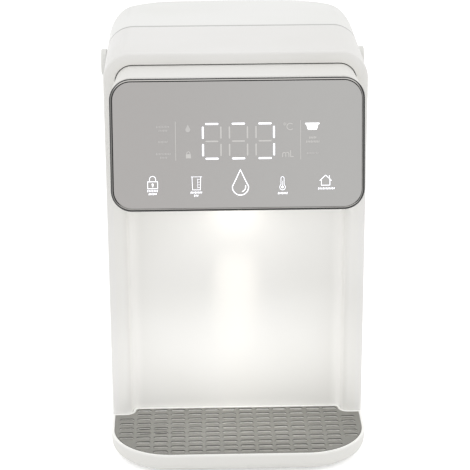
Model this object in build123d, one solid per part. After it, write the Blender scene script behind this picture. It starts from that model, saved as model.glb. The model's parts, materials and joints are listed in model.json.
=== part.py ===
from build123d import *
import math
import os

# A countertop hot water dispenser. Millimetres, +X to the right, +Y to the back, +Z up.
# The origin is on the counter, under the middle of the whole outline.

# Body
body_width = 190.0
body_height = 300.0
body_wall = 2.5
top_corner_radius = 20.0      # between sides and top
housing_depth = 80.5          # rim plane to the seam in front of the tank
front_edge_radius = 1.2
seam_edge = 1.0               # rounding of the edges beside the seam
front_lip = 5.0               # how far the housing turns in round the front frame
seam_gap = 0.5
fit_gap = 0.2                 # between fixed pieces that slip into each other

# Feet and bottom plate
foot_height = 3.0
foot_radius = 8.0
foot_chamfer = 0.6
plate_thickness = 2.5
foot_spread = 140.0           # between left and right feet
foot_front = 24.0             # rim plane to the front feet
foot_back_inset = 26.0        # tank's back to the rear feet
plate_neck_inset = 5.0        # housing's inside to where the plate runs back under the tank
plate_slots = 7
plate_slot_width = 3.0
plate_slot_length = 18.0
plate_slot_pitch = 9.0
plate_slot_behind_rim = 30.0

# Front frame and cup bay
frame_thickness = 2.5
frame_flange = 2.5            # depth of the flange behind the housing's lip
bay_edge = 85.0               # middle to where the cheek starts to turn in
bay_corner = 5.0              # radius of the cheek's edge and of the inner corner
bay_depth = 10.3              # rim plane to the splash wall
bay_wall = 2.2

# Head
head_top_drop = 8.8           # top of the body down to the top of the head
head_height = 93.3
head_width = 172.0            # at the rim plane
head_front_width = 177.0
head_corner = 12.0
head_front_corner = 14.6
head_wall = 2.5
head_gap = 0.7                # between head and front frame
head_edge = 2.0               # rounding of the head's front edge
head_root = 14.0              # how far the head runs in behind the rim plane

# Control panel
panel_reach = 41.3            # rim plane forward to the middle of the panel's face
panel_tilt = 11.5             # degrees from upright
panel_width = 179.0
panel_height = 93.4
panel_corner = 15.0
bezel_proud = 1.9             # thickness of the dark frame in front of the head
bezel_set_back = 0.3          # panel's face in front of the dark frame
bezel_width = 2.2             # of the dark frame round the glass
glass_thickness = 2.0
glass_gap = 0.25
bezel_ledge = 3.0
bezel_depth = 6.0             # how far the frame's inner wall runs into the head

# Head underside, spout and lamp
underside_length = 128.0
underside_depth = 36.0
underside_middle = 17.5       # rim plane forward to the middle of the underside cover
underside_flange = 2.0
underside_corner = 5.0
underside_lap = 4.0           # how far the flange laps over the opening's ends
spout_reach = 21.0            # rim plane forward to the spout's axis
spout_radius = 7.0
spout_bore = 3.5
spout_wall = 1.5              # of the thin tube inside the outlet chamber
spout_chamfer = 1.2
spout_drop = 5.0              # how far it shows below the head
spout_flange = 10.0
spout_flange_height = 2.0
spout_height = 22.0           # whole nozzle, up into the outlet chamber
lamp_reach = 4.0              # rim plane forward to the middle of the lamp window
lamp_length = 34.0
lamp_depth = 7.0
lamp_corner = 2.0
lens_lap = 2.0                # how far the lens's rim laps over its window
lamp_board_margin = 2.0
lens_flange = 1.0             # thickness of the lens's rim above the cover
led_height = 1.2
led_size = 3.5
led_pitch = 12.0
chamber_radius = 10.5
chamber_height = 30.0
chamber_wall = 2.0
port_drop = 10.0              # top of the chamber down to the hot hose
vent_radius = 3.5
vent_height = 6.0
vent_wall = 1.0

# Display
board_thickness = 1.6
display_board_width = 150.0
display_board_height = 66.0
display_board_drop = 8.0      # panel's face back to the board
digit_height = 26.0
digit_width = 14.4
digit_pitch = 18.6
digit_rise = 2.7              # middle of the panel up to the middle of the digits
digit_stroke = 2.4            # width of a well behind a lit segment
digit_web = 0.6               # wall between two wells
light_box_margin = 4.0        # round the digits
light_box_gap = 0.3           # behind the glass
touch_pitch = 30.5
touch_drop = 28.0             # middle of the panel down to the touch pads
touch_radius = 7.0
touch_gap = 0.1               # behind the glass
touch_count = 5
digit_count = 3

# Tank and lid
tank_depth = 87.0
tank_wall = 2.5
tank_floor = 3.0
rear_corner_radius = 55.0
rear_bow_radius = 700.0
dock_height = 26.0            # counter to the platform under the tank
dock_window_side = 4.0        # beside the opening in the dock's front wall
dock_window_top = 6.0         # and above it
lid_height = 22.0
lid_wall = 2.5
lid_edge = 3.0                # rounding of the lid's rear edge
neck_height = 4.5
neck_wall = 2.0
neck_gap = 0.5

# Carry handle
pivot_behind_seam = 11.5
pivot_below_top = 30.0
handle_arm = 100.0
handle_thickness = 4.8
handle_width = 12.0
handle_hub_radius = 10.0
handle_gap = 0.6              # beside the tank
handle_corner = 30.0
grip_radius = 8.0
grip_length = 92.0
grip_edge = 2.5
grip_rest_gap = 0.3
pin_radius = 3.0
pin_head_radius = 5.5
pin_head_gap = 0.3
pin_head = 1.6
pin_clearance = 0.06
pivot_boss_radius = 7.0
pivot_boss_depth = 6.0

# Drip tray and grille
tray_reach = 71.0             # rim plane forward to the tray's front
tray_corner = 45.0
tray_bottom = 2.5
tray_top = 17.0
tray_gap = 0.4                # to the cup bay
tray_wall = 2.0
tray_floor = 2.0
tray_lower_edge = 8.0
tray_step = 2.0               # lower part of the basin: in from the sides, and its height
ledge_width = 1.5
grille_thickness = 1.4
grille_gap = 0.3
slot_length = 10.6
slot_width = 3.6
slot_pitch_x = 12.9
slot_pitch_y = 7.6
slot_columns = 14
slot_rows = 10
slot_first_row = 4.2          # rim plane back to the first row
slot_margin = 0.45
slot_cheek_margin = 6.0
tongue_spread = 135.0
tongue_width = 12.0
tongue_height = 3.5
tongue_length = 8.0
tongue_gap = 0.5
tongue_bottom = 7.0
tray_foot_radius = 5.0
tray_foot_spread = 116.0
tray_foot_reach = 44.0

# Tank valve and dock socket
valve_behind_seam = 38.0      # seam back to the valve's axis
spigot_radius = 12.0
spigot_length = 13.0          # below the tank's bottom
spigot_clearance = 0.3
valve_bore = 9.0
seat_hole = 5.5
seat_thickness = 4.0
valve_flange_radius = 19.0
valve_flange = 2.5
cage_height = 14.0            # above the tank's floor
strainer_slot = 8.0
strainer_rim = 1.5            # below the strainer's slots, and half of what is above them
valve_travel = 2.9
valve_seal_radius = 7.5
valve_seal_thickness = 1.6
plunger_disc = 1.4
stem_radius = 2.5
stem_clearance = 0.08
lower_stem_radius = 3.0
cap_thickness = 2.0
spring_radius = 4.6
spring_wire = 0.8
spring_turns = 5
socket_wall = 3.0
socket_floor = 2.5
socket_flange = 3.0
socket_flange_height = 2.0
dock_pin_radius = 1.8
seal_ring_radius = 1.2
seal_ring_clearance = 0.05
seal_ring_drop = 5.0          # below the platform under the tank

# Water path
hose_radius = 4.5
hose_bore = 3.0
barb_length = 9.0
barb_wall = 1.0
hose_end_gap = 0.5            # a hose's end to the wall that its barb stands on
riser_height = 28.0           # hot hose: straight up from the heater's cap
riser_lean = 2.0
riser_turn = 6.0
riser_step = 10.0
clip_width = 3.0
clip_wall = 1.0
pump_behind_rim = 46.0
pump_radius = 17.0
pump_cover_height = 9.0
pump_height = 13.0
pump_wall = 2.5
pump_pad = 1.5
pump_mount_rim = 2.0
pump_mount_lap = 0.5
impeller_radius = 12.0
impeller_hub = 4.0
impeller_blades = 6
impeller_gap = 1.0            # over the pump's cover
impeller_disc = 1.2
blade_thickness = 1.2
blade_height = 6.0
motor_radius = 14.0
motor_height = 33.0
motor_bore_depth = 9.0
motor_edge = 2.0
motor_nose_radius = 5.0
motor_nose = 2.0
motor_tab_spread = 14.0
motor_tab_thickness = 2.0
motor_tab_width = 4.0
motor_tab_length = 4.0
shaft_radius = 1.5
shaft_clearance = 0.06
column_x = 52.0               # middle to the axis of flow meter and heater
flow_meter_radius = 12.0
sensor_width = 12.0           # the flow meter's sensor box, on the side of its body
sensor_depth = 5.0
sensor_root = 1.5
sensor_margin = 4.0
flow_meter_height = 22.0
flow_meter_bottom = 40.0
flow_meter_wall = 2.0
rotor_blades = 5
rotor_clearance = 0.06
axle_radius = 0.8
meter_barb = 5.0
rotor_radius = 8.0
rotor_hub = 2.5
rotor_end_gap = 2.0
rotor_blade_thickness = 1.0
axle_bar = 1.6                # width of the bars that hold the axle
axle_bar_height = 0.8
heater_radius = 18.0
heater_wall = 1.5
heater_rise = 22.0            # flow meter's top up to the heater's tube
heater_cap = 9.0
heater_below_head = 1.9       # head's underside down to the heater's top
heater_core_gap = 3.0         # water's way between core and tube
heater_cap_rim = 2.0
bracket_thickness = 1.5
bracket_width = 14.0
bracket_foot = 44.0           # width of a bracket's foot on the partition
bracket_neck = 10.0
bracket_inset = 12.0          # heater's end to a bracket
cutout_radius = 7.0
cutout_height = 6.0
cutout_rise = 48.0            # heater's lower end up to the first cut-out
cutout_pitch = 20.0
tab_length = 5.0
tab_width = 3.0
tab_thickness = 0.8
tab_pitch = 7.0
probe_offset = 12.0           # heater's axis back to the temperature probe
probe_radius = 1.6
probe_length = 14.0
probe_base_radius = 3.0
probe_base = 3.0

# Boards, partition, inlet
partition_thickness = 2.5
partition_arch = 80.0         # width of the opening over the hose
partition_arch_gap = 3.0      # between the hose and the top of that opening
louvre_count = 8
louvre_drop = 68.0            # body's top down to the lowest louvre
louvre_pitch = 6.0
louvre_length = 60.0
louvre_height = 2.4
board_width = 56.0
board_edge = 82.0             # middle out to the boards' outer edge
power_board_height = 92.0
power_board_bottom = 24.0
control_board_height = 88.0
control_board_bottom = 122.0
standoff_length = 6.4
standoff_radius = 3.0
gland_x = -38.0
gland_z = 14.75
gland_radius = 6.5
gland_bore = 3.6
gland_length = 16.0
gland_collar_length = 3.0
gland_collar = 8.0
gland_seat_gap = 0.7
cable_width = 12.0
cable_thickness = 0.9
cable_x = -44.0
cable_bend = 12.0
cable_exit = 20.0             # straight stretch behind the display board
cable_turn_behind_rim = 38.0
cable_turn_drop = 10.0
cable_end_rise = 34.0         # straight stretch down into its socket
cable_rise = 6.0              # middle of the display board up to the cable
socket_width = 20.0           # cable socket on the control board
socket_rise = 70.0            # above the board's lower edge
socket_height = 6.0
socket_depth = 7.0

# Screws
screw_radius = 1.5
screw_hole = 1.55
screw_head_radius = 2.8
screw_head = 1.6
screw_length = 12.0
partition_screw_length = 9.0
boss_radius = 4.5
boss_height = 16.0
boss_cap = 2.0                # solid end of a boss above its screw's hole
boss_side_gap = 1.0           # between a boss and the partition
housing_screw_behind_rim = 16.0
dock_screw_spread = 60.0
dock_screw_inset = 20.0       # tank's back to the dock's screws
partition_screw_low = 60.0
partition_screw_high = 250.0
partition_boss_depth = 10.0

# Cuts run this far past the face that they open
past = 1.0

# Places worked out from the sizes above
tank_back_reach = housing_depth + seam_gap + tank_depth
pivot_reach = housing_depth + pivot_behind_seam
rear_reach = tank_back_reach + grip_rest_gap + 2 * grip_radius
rim_y = (tray_reach - rear_reach) / 2
seam_y = rim_y + housing_depth
tank_front_y = seam_y + seam_gap
tank_back_y = rim_y + tank_back_reach
pivot_y = rim_y + pivot_reach
pivot_z = body_height - pivot_below_top
handle_drop = math.acos((tank_back_y + grip_rest_gap + grip_radius - pivot_y) / handle_arm)
head_top = body_height - head_top_drop
head_bottom = head_top - head_height
head_middle = (head_top + head_bottom) / 2
plate_top = foot_height + plate_thickness
lid_bottom = body_height - lid_height
bay_side = bay_edge - bay_corner
splash_y = rim_y + bay_depth
grille_bottom = tray_top - grille_thickness
valve_y = seam_y + valve_behind_seam
spigot_bottom = dock_height - spigot_length
seat_top = spigot_bottom + seat_thickness
cap_bottom = dock_height + tank_floor + cage_height
socket_bottom = plate_top + fit_gap
port_z = socket_bottom + socket_floor + hose_bore + 1.0
pump_y = rim_y + pump_behind_rim
pump_base = plate_top + pump_pad
volute_base = pump_base + pump_cover_height
motor_base = volute_base + pump_height
heater_top = head_bottom - heater_below_head
heater_bottom = flow_meter_bottom + flow_meter_height + heater_rise
seal_z = dock_height - seal_ring_drop
partition_y = seam_y - partition_thickness
tilt = math.radians(panel_tilt)


def extrude_back(outline, start, end):
    # The outline's x is X and its y is Z. The solid runs along Y from start to end.
    face = Plane(origin=(0, start, 0), x_dir=(1, 0, 0), z_dir=(0, -1, 0)) * outline
    return extrude(face, amount=start - end)


def extrude_up(outline, start, end):
    return extrude(Pos(0, 0, start) * outline, amount=end - start)


def rod(radius, start, end):
    # A round bar between two points.
    start = Vector(*start)
    along = Vector(*end) - start
    return extrude(Plane(origin=start, z_dir=along) * Circle(radius), amount=along.length)


def block(low, high):
    # A box from its lowest to its highest corner.
    size = [b - a for a, b in zip(low, high)]
    middle = [(a + b) / 2 for a, b in zip(low, high)]
    return Pos(*middle) * Box(*size)


def panel_plane(depth, rise=0.0):
    # Parallel to the control panel, depth behind its face, with its middle moved up the panel by rise.
    outward = Vector(0, -math.cos(tilt), math.sin(tilt))
    upward = Vector(0, math.sin(tilt), math.cos(tilt))
    middle = Vector(0, rim_y - panel_reach, head_middle) - outward * depth + upward * rise
    return Plane(origin=middle, x_dir=(1, 0, 0), z_dir=outward)


def panel_slab(width, height, corner, near, far):
    # A rounded plate parallel to the panel, between two depths behind its face.
    return extrude(panel_plane(far) * RectangleRounded(width, height, corner), amount=far - near)


def front_outline(inset, bottom):
    # Sides and top of the body, seen from the front.
    half = body_width / 2 - inset
    top = body_height - inset
    radius = top_corner_radius - inset
    return make_face([
        Line((-half, bottom), (-half, top - radius)),
        CenterArc((radius - half, top - radius), radius, 90, 90),
        Line((radius - half, top), (half - radius, top)),
        CenterArc((half - radius, top - radius), radius, 0, 90),
        Line((half, top - radius), (half, bottom)),
        Line((half, bottom), (-half, bottom)),
    ])


def bay_outline(offset):
    # Plan of the cup bay's recess. A positive offset moves its wall into the body.
    front = rim_y + offset
    back = splash_y + offset
    edge = bay_corner - offset
    corner = bay_corner + offset
    side = bay_side + offset
    inner = bay_side - bay_corner
    edge_y = rim_y + bay_corner
    corner_y = splash_y - bay_corner
    return make_face([
        Line((-bay_edge, front), (bay_edge, front)),
        CenterArc((bay_edge, edge_y), edge, 180, 90),
        Line((side, edge_y), (side, corner_y)),
        CenterArc((inner, corner_y), corner, 0, 90),
        Line((inner, back), (-inner, back)),
        CenterArc((-inner, corner_y), corner, 90, 90),
        Line((-side, corner_y), (-side, edge_y)),
        CenterArc((-bay_edge, edge_y), edge, 270, 90),
    ])


def tank_plan(inset):
    # Plan of tank, lid and dock: square in front, round corners and a slight bow at the back.
    half = body_width / 2 - inset
    corner = rear_corner_radius - inset
    bow = rear_bow_radius - inset
    corner_x = body_width / 2 - rear_corner_radius
    bow_y = tank_back_y - rear_bow_radius
    corner_y = bow_y + math.sqrt((rear_bow_radius - rear_corner_radius) ** 2 - corner_x ** 2)
    lean = math.degrees(math.atan2(corner_y - bow_y, corner_x))
    front = tank_front_y + inset
    return make_face([
        Line((-half, corner_y), (-half, front)),
        Line((-half, front), (half, front)),
        Line((half, front), (half, corner_y)),
        CenterArc((corner_x, corner_y), corner, 0, lean),
        CenterArc((0, bow_y), bow, lean, 180 - 2 * lean),
        CenterArc((-corner_x, corner_y), corner, 180 - lean, lean),
    ])


def tray_plan(inset):
    # Plan of the drip tray: round front corners, and a back that fits between and behind the cheeks.
    off = tray_gap + inset
    half = body_width / 2 - inset
    front = rim_y - tray_reach + inset
    corner_x = body_width / 2 - tray_corner
    corner_y = rim_y - tray_reach + tray_corner
    outer = tray_corner - inset
    edge_y = rim_y + bay_corner
    side = bay_side - off
    inner = max(bay_corner - off, 0.5)
    inner_x = side - inner
    inner_y = splash_y - off - inner
    return make_face([
        Line((-corner_x, front), (corner_x, front)),
        CenterArc((corner_x, corner_y), outer, 270, 90),
        Line((half, corner_y), (half, rim_y - off)),
        Line((half, rim_y - off), (bay_edge, rim_y - off)),
        CenterArc((bay_edge, edge_y), bay_corner + off, 180, 90),
        Line((side, edge_y), (side, inner_y)),
        CenterArc((inner_x, inner_y), inner, 0, 90),
        Line((inner_x, splash_y - off), (-inner_x, splash_y - off)),
        CenterArc((-inner_x, inner_y), inner, 90, 90),
        Line((-side, inner_y), (-side, edge_y)),
        CenterArc((-bay_edge, edge_y), bay_corner + off, 270, 90),
        Line((-bay_edge, rim_y - off), (-half, rim_y - off)),
        Line((-half, rim_y - off), (-half, corner_y)),
        CenterArc((-corner_x, corner_y), outer, 180, 90),
    ])


def housing_screw_places():
    side = body_width / 2 - body_wall - boss_radius
    ys = (rim_y + housing_screw_behind_rim, partition_y - boss_radius - boss_side_gap)
    return [(x, y) for x in (-side, side) for y in ys]


def dock_screw_places():
    half = dock_screw_spread / 2
    return [(x, tank_back_y - dock_screw_inset) for x in (-half, half)]


def partition_screw_places():
    side = body_width / 2 - body_wall - boss_radius
    return [(x, z) for x in (-side, side) for z in (partition_screw_low, partition_screw_high)]


def foot_places():
    ys = (rim_y + foot_front, tank_back_y - foot_back_inset)
    return [(x, y) for x in (-foot_spread / 2, foot_spread / 2) for y in ys]


def housing_shell():
    solid = extrude_back(front_outline(0, foot_height), rim_y, seam_y)
    front_edges = [e for e in solid.edges().filter_by_position(Axis.Y, rim_y, rim_y)
                   if e.center().Z > foot_height + 1]
    solid = fillet(front_edges, front_edge_radius)
    seam_edges = [e for e in solid.edges().filter_by_position(Axis.Y, seam_y, seam_y)
                  if e.center().Z > foot_height + 1]
    solid = fillet(seam_edges, seam_edge)
    solid -= extrude_back(front_outline(body_wall, foot_height - past), rim_y + frame_thickness, seam_y + past)
    solid -= extrude_back(front_outline(front_lip, foot_height - past), rim_y - past, rim_y + frame_thickness)
    inner = body_width / 2 - body_wall
    boss_top = plate_top + boss_height
    for x, y in housing_screw_places():
        left = x - boss_radius if x > 0 else -inner
        right = inner if x > 0 else x + boss_radius
        solid += block((left, y - boss_radius, plate_top), (right, y + boss_radius, boss_top))
        solid -= rod(screw_hole, (x, y, plate_top - past), (x, y, boss_top - boss_cap))
    for x, z in partition_screw_places():
        left = x - boss_radius if x > 0 else -inner
        right = inner if x > 0 else x + boss_radius
        boss_front = partition_y - partition_boss_depth
        solid += block((left, boss_front, z - boss_radius), (right, partition_y, z + boss_radius))
        solid -= rod(screw_hole, (x, partition_y + past, z), (x, partition_y - partition_screw_length, z))
    return solid


def head_opening():
    half = head_width / 2 + head_gap
    height = head_height + head_gap
    outline = Pos(0, head_bottom + height / 2) * RectangleRounded(2 * half, height, head_corner + head_gap)
    return extrude_back(outline, rim_y - past, splash_y + bay_wall + past)


def front_frame():
    solid = extrude_back(front_outline(front_lip, foot_height), rim_y, rim_y + frame_thickness)
    back = rim_y + frame_thickness + frame_flange
    solid += extrude_back(front_outline(body_wall, foot_height), rim_y + frame_thickness, back)
    solid += extrude_up(bay_outline(bay_wall), foot_height, head_bottom)
    solid -= extrude_up(bay_outline(0), foot_height - 1, head_bottom)
    lintel = head_corner + 1
    solid -= block((-bay_side, rim_y - 1, head_bottom - 1), (bay_side, splash_y, head_bottom + lintel))
    solid -= head_opening()
    for side in (-1, 1):
        x = side * tongue_spread / 2
        width = tongue_width / 2 + tongue_gap
        solid -= block((x - width, splash_y - 1, tongue_bottom - tongue_gap),
                       (x + width, splash_y + bay_wall + 1, tongue_bottom + tongue_height + tongue_gap))
    return solid


def head_loft(inset, gap_front):
    # The leaning block, from the rim plane out to the plane behind the dark frame.
    rear = RectangleRounded(head_width - 2 * inset, head_height - 2 * inset, head_corner - inset)
    rear = Plane(origin=(0, rim_y, head_middle), x_dir=(1, 0, 0), z_dir=(0, -1, 0)) * rear
    depth = bezel_set_back + bezel_proud - gap_front
    origin_z = panel_plane(depth).origin.Z
    rise = (head_middle - origin_z) / math.cos(tilt)
    slant = (head_height - 2 * inset) / math.cos(tilt)
    front = RectangleRounded(head_front_width - 2 * inset, slant, head_front_corner - inset)
    return loft([rear, panel_plane(depth, rise) * front], ruled=True)


def head_shell():
    root = Pos(0, head_middle) * RectangleRounded(head_width, head_height, head_corner)
    inner_width = head_width - 2 * head_wall
    inner_height = head_height - 2 * head_wall
    hollow = Pos(0, head_middle) * RectangleRounded(inner_width, inner_height, head_corner - head_wall)
    leaning = head_loft(0, 0)
    leaning = fillet(leaning.faces().sort_by(Axis.Y)[0].edges(), head_edge)
    solid = leaning + extrude_back(root, rim_y, rim_y + head_root)
    solid -= head_loft(head_wall, past)
    solid -= extrude_back(hollow, rim_y - 0.01, rim_y + head_root + past)
    return solid - underside_opening(fit_gap)


def underside_opening(gap):
    outline = RectangleRounded(underside_length + 2 * gap, underside_depth + 2 * gap, underside_corner)
    place = Pos(0, rim_y - underside_middle)
    return extrude_up(place * outline, head_bottom - past, head_bottom + head_wall + past)


def head_underside():
    place = Pos(0, rim_y - underside_middle)
    seat = head_bottom + head_wall
    top = seat + underside_flange
    cover = RectangleRounded(underside_length, underside_depth, underside_corner)
    solid = extrude_up(place * cover, head_bottom, seat)
    length = underside_length + 2 * underside_lap
    depth = underside_depth + underside_lap
    solid += extrude_up(place * RectangleRounded(length, depth, underside_corner), seat, top)
    spout_y = rim_y - spout_reach
    solid -= rod(spout_radius + fit_gap, (0, spout_y, head_bottom - past), (0, spout_y, top + past))
    lamp = RectangleRounded(lamp_length + 2 * fit_gap, lamp_depth + 2 * fit_gap, lamp_corner)
    return solid - extrude_up(Pos(0, rim_y - lamp_reach) * lamp, head_bottom - past, top + past)


def lamp_lens():
    top = head_bottom + head_wall + underside_flange
    place = Pos(0, rim_y - lamp_reach)
    window = RectangleRounded(lamp_length, lamp_depth, lamp_corner - fit_gap)
    lens = extrude_up(place * window, head_bottom, top)
    flange = RectangleRounded(lamp_length + 2 * lens_lap, lamp_depth + 2 * lens_lap, lamp_corner + lens_lap)
    return lens + extrude_up(place * flange, top, top + lens_flange)


def lamp_board():
    base = head_bottom + head_wall + underside_flange + lens_flange
    y = rim_y - lamp_reach
    face = base + led_height
    plate = Rectangle(lamp_length + 2 * lamp_board_margin, lamp_depth + 2 * lamp_board_margin)
    solid = extrude_up(Pos(0, y) * plate, face, face + board_thickness)
    for x in (-led_pitch, 0.0, led_pitch):
        solid += block((x - led_size / 2, y - led_size / 2, base), (x + led_size / 2, y + led_size / 2, face))
    for x in (-lamp_length / 2, lamp_length / 2):
        solid += block((x - led_size / 2, y - led_size / 2, base), (x + led_size / 2, y + led_size / 2, face))
    return solid


def spout_nozzle():
    y = rim_y - spout_reach
    low = head_bottom - spout_drop
    seat = head_bottom + head_wall + underside_flange
    solid = rod(spout_radius, (0, y, low), (0, y, seat))
    solid = chamfer(solid.edges().group_by(Axis.Z)[0], spout_chamfer)
    solid += rod(spout_flange, (0, y, seat), (0, y, seat + spout_flange_height))
    solid += rod(spout_bore + spout_wall, (0, y, seat), (0, y, low + spout_height))
    return solid - rod(spout_bore, (0, y, low - past), (0, y, low + spout_height + past))


def chamber_base():
    return head_bottom + head_wall + underside_flange + spout_flange_height


def chamber_port():
    # Where the hot hose meets the outlet chamber: its end point and the chamber's side.
    y = rim_y - spout_reach
    z = chamber_base() + chamber_height - port_drop
    return (chamber_radius + barb_length, y, z)


def outlet_chamber():
    y = rim_y - spout_reach
    base = chamber_base()
    top = base + chamber_height
    solid = rod(chamber_radius, (0, y, base), (0, y, top))
    x, port_y, z = chamber_port()
    solid += rod(hose_bore, (chamber_radius - past, port_y, z), (x, port_y, z))
    solid += rod(vent_radius, (0, y, top), (0, y, top + vent_height))
    solid -= rod(chamber_radius - chamber_wall, (0, y, base + chamber_wall), (0, y, top - chamber_wall))
    tube = spout_bore + spout_wall + fit_gap
    solid -= rod(tube, (0, y, base - past), (0, y, base + chamber_wall + past))
    inside = chamber_radius - chamber_wall
    solid -= rod(hose_bore - barb_wall, (inside - past, port_y, z), (x + past, port_y, z))
    roof = top - chamber_wall
    return solid - rod(vent_radius - vent_wall, (0, y, roof - past), (0, y, top + vent_height + past))


def panel_bezel():
    near = bezel_set_back
    far = bezel_set_back + bezel_proud
    solid = panel_slab(panel_width, panel_height, panel_corner, near, far)
    inner_width = head_front_width - 2 * head_wall - 2 * fit_gap - 1.5
    inner_height = head_height - 2 * (head_wall + fit_gap + bezel_depth * math.sin(tilt))
    inner_corner = head_front_corner - head_wall - 1
    solid += panel_slab(inner_width, inner_height, inner_corner, far, far + bezel_depth)
    glass_width = panel_width - 2 * bezel_width + 2 * glass_gap
    glass_height = panel_height - 2 * bezel_width + 2 * glass_gap
    corner = panel_corner - bezel_width + glass_gap
    solid -= panel_slab(glass_width, glass_height, corner, near - 1, glass_thickness)
    window_width = inner_width - 2 * bezel_ledge
    window_height = inner_height - 2 * bezel_ledge
    window_corner = inner_corner - bezel_ledge
    return solid - panel_slab(window_width, window_height, window_corner, 0, far + bezel_depth + past)


def display_panel():
    width = panel_width - 2 * bezel_width
    height = panel_height - 2 * bezel_width
    return panel_slab(width, height, panel_corner - bezel_width, 0, glass_thickness)


def display_board():
    near = display_board_drop
    solid = extrude(panel_plane(near + board_thickness) * RectangleRounded(
        display_board_width, display_board_height, 3), amount=board_thickness)
    for x, rise, width, height in ((-62, 10, 14, 14), (30, -8, 10, 10), (0, -20, 22, 5), (48, 14, 16, 6)):
        chip = panel_plane(near + board_thickness + 1.6, rise) * (Pos(x, 0) * Rectangle(width, height))
        solid += extrude(chip, amount=1.6)
    return solid


def digit_light_box():
    # Holds the lit segments behind the glass: one block with a well for each segment.
    near = glass_thickness + light_box_gap
    width = digit_count * digit_pitch + 2 * light_box_margin
    height = digit_height + 2 * light_box_margin
    solid = extrude(panel_plane(display_board_drop, digit_rise) * Rectangle(width, height),
                    amount=display_board_drop - near)
    half_width = (digit_width - digit_stroke) / 2
    half_height = (digit_height - digit_stroke) / 2
    across = Rectangle(digit_width - 2 * digit_stroke - digit_web, digit_stroke)
    upright = Rectangle(digit_stroke, half_height - digit_stroke - digit_web)
    for index in range(digit_count):
        middle = (index - (digit_count - 1) / 2) * digit_pitch
        wells = [Pos(middle, rise) * across for rise in (-half_height, 0, half_height)]
        for side in (-half_width, half_width):
            wells += [Pos(middle + side, rise) * upright for rise in (-half_height / 2, half_height / 2)]
        behind = panel_plane(display_board_drop + past, digit_rise)
        for well in wells:
            solid -= extrude(behind * well, amount=display_board_drop)
    return solid


def touch_pads():
    depth = display_board_drop - glass_thickness - touch_gap
    pads = []
    for index in range(touch_count):
        outline = Pos((index - (touch_count - 1) / 2) * touch_pitch, 0) * Circle(touch_radius)
        pads.append(extrude(panel_plane(display_board_drop, -touch_drop) * outline, amount=depth))
    return Compound(children=pads)


def board_plug():
    # Where the display cable starts, on the back of the display board.
    return panel_plane(display_board_drop + board_thickness + cable_thickness, cable_rise).origin


def display_cable():
    start = board_plug()
    end_y = partition_y - standoff_length - board_thickness - socket_depth / 2
    end_z = control_board_bottom + socket_rise + socket_height
    points = [
        (start.Y, start.Z),
        (start.Y + cable_exit, start.Z - cable_exit * math.tan(tilt)),
        (rim_y + cable_turn_behind_rim, start.Z - cable_turn_drop),
        (end_y, end_z + cable_end_rise),
        (end_y, end_z),
    ]
    route = FilletPolyline(*points, radius=cable_bend)
    ribbon = Plane(origin=(cable_x - cable_width / 2, 0, 0), x_dir=(0, 1, 0), z_dir=(1, 0, 0)) * trace(
        route, line_width=cable_thickness)
    return extrude(ribbon, amount=cable_width)


def bottom_plate():
    half = body_width / 2 - body_wall - fit_gap
    front = rim_y + bay_depth + bay_wall + fit_gap
    solid = block((-half, front, foot_height), (half, seam_y, plate_top))
    neck = half - plate_neck_inset
    solid += block((-neck, seam_y, foot_height), (neck, tank_front_y + tank_wall + 1, plate_top))
    solid += extrude_up(tank_plan(body_wall + fit_gap), foot_height, plate_top)
    for x, y in housing_screw_places() + dock_screw_places():
        solid -= rod(screw_hole, (x, y, foot_height - 1), (x, y, plate_top + 1))
        solid -= rod(screw_head_radius + fit_gap, (x, y, foot_height - 1), (x, y, foot_height + screw_head))
    for row in range(plate_slots):
        x = (row - (plate_slots - 1) / 2) * plate_slot_pitch
        slot = Pos(x, rim_y + plate_slot_behind_rim) * Rectangle(plate_slot_width, plate_slot_length)
        solid -= extrude_up(slot, foot_height - past, plate_top + past)
    return solid


def rubber_feet():
    feet = []
    for x, y in foot_places():
        foot = rod(foot_radius, (x, y, 0), (x, y, foot_height))
        feet.append(chamfer(foot.edges().group_by(Axis.Z)[0], foot_chamfer))
    return Compound(children=feet)


def bottom_screws():
    screws = []
    for x, y in housing_screw_places() + dock_screw_places():
        screw = rod(screw_radius, (x, y, foot_height + screw_head), (x, y, foot_height + screw_length))
        screw += rod(screw_head_radius, (x, y, foot_height + 0.1), (x, y, foot_height + screw_head))
        screws.append(screw)
    return Compound(children=screws)


def tank_dock():
    solid = extrude_up(tank_plan(0), foot_height, dock_height)
    solid -= extrude_up(tank_plan(body_wall), foot_height - 1, dock_height - body_wall)
    half = body_width / 2 - body_wall - dock_window_side
    sill = dock_height - dock_window_top
    wall_back = tank_front_y + body_wall
    solid -= block((-half, tank_front_y - past, foot_height - past), (half, wall_back + past, sill))
    for x, y in dock_screw_places():
        solid += rod(boss_radius, (x, y, plate_top), (x, y, dock_height - body_wall))
        solid -= rod(screw_hole, (x, y, plate_top - past), (x, y, plate_top + boss_height - boss_cap))
    outer = spigot_radius + spigot_clearance + socket_wall
    solid -= rod(outer + fit_gap, (0, valve_y, foot_height), (0, valve_y, dock_height + 1))
    front = tank_back_y - gland_length
    back = tank_back_y + gland_length
    return solid - rod(gland_radius + fit_gap, (gland_x, front, gland_z), (gland_x, back, gland_z))


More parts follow.
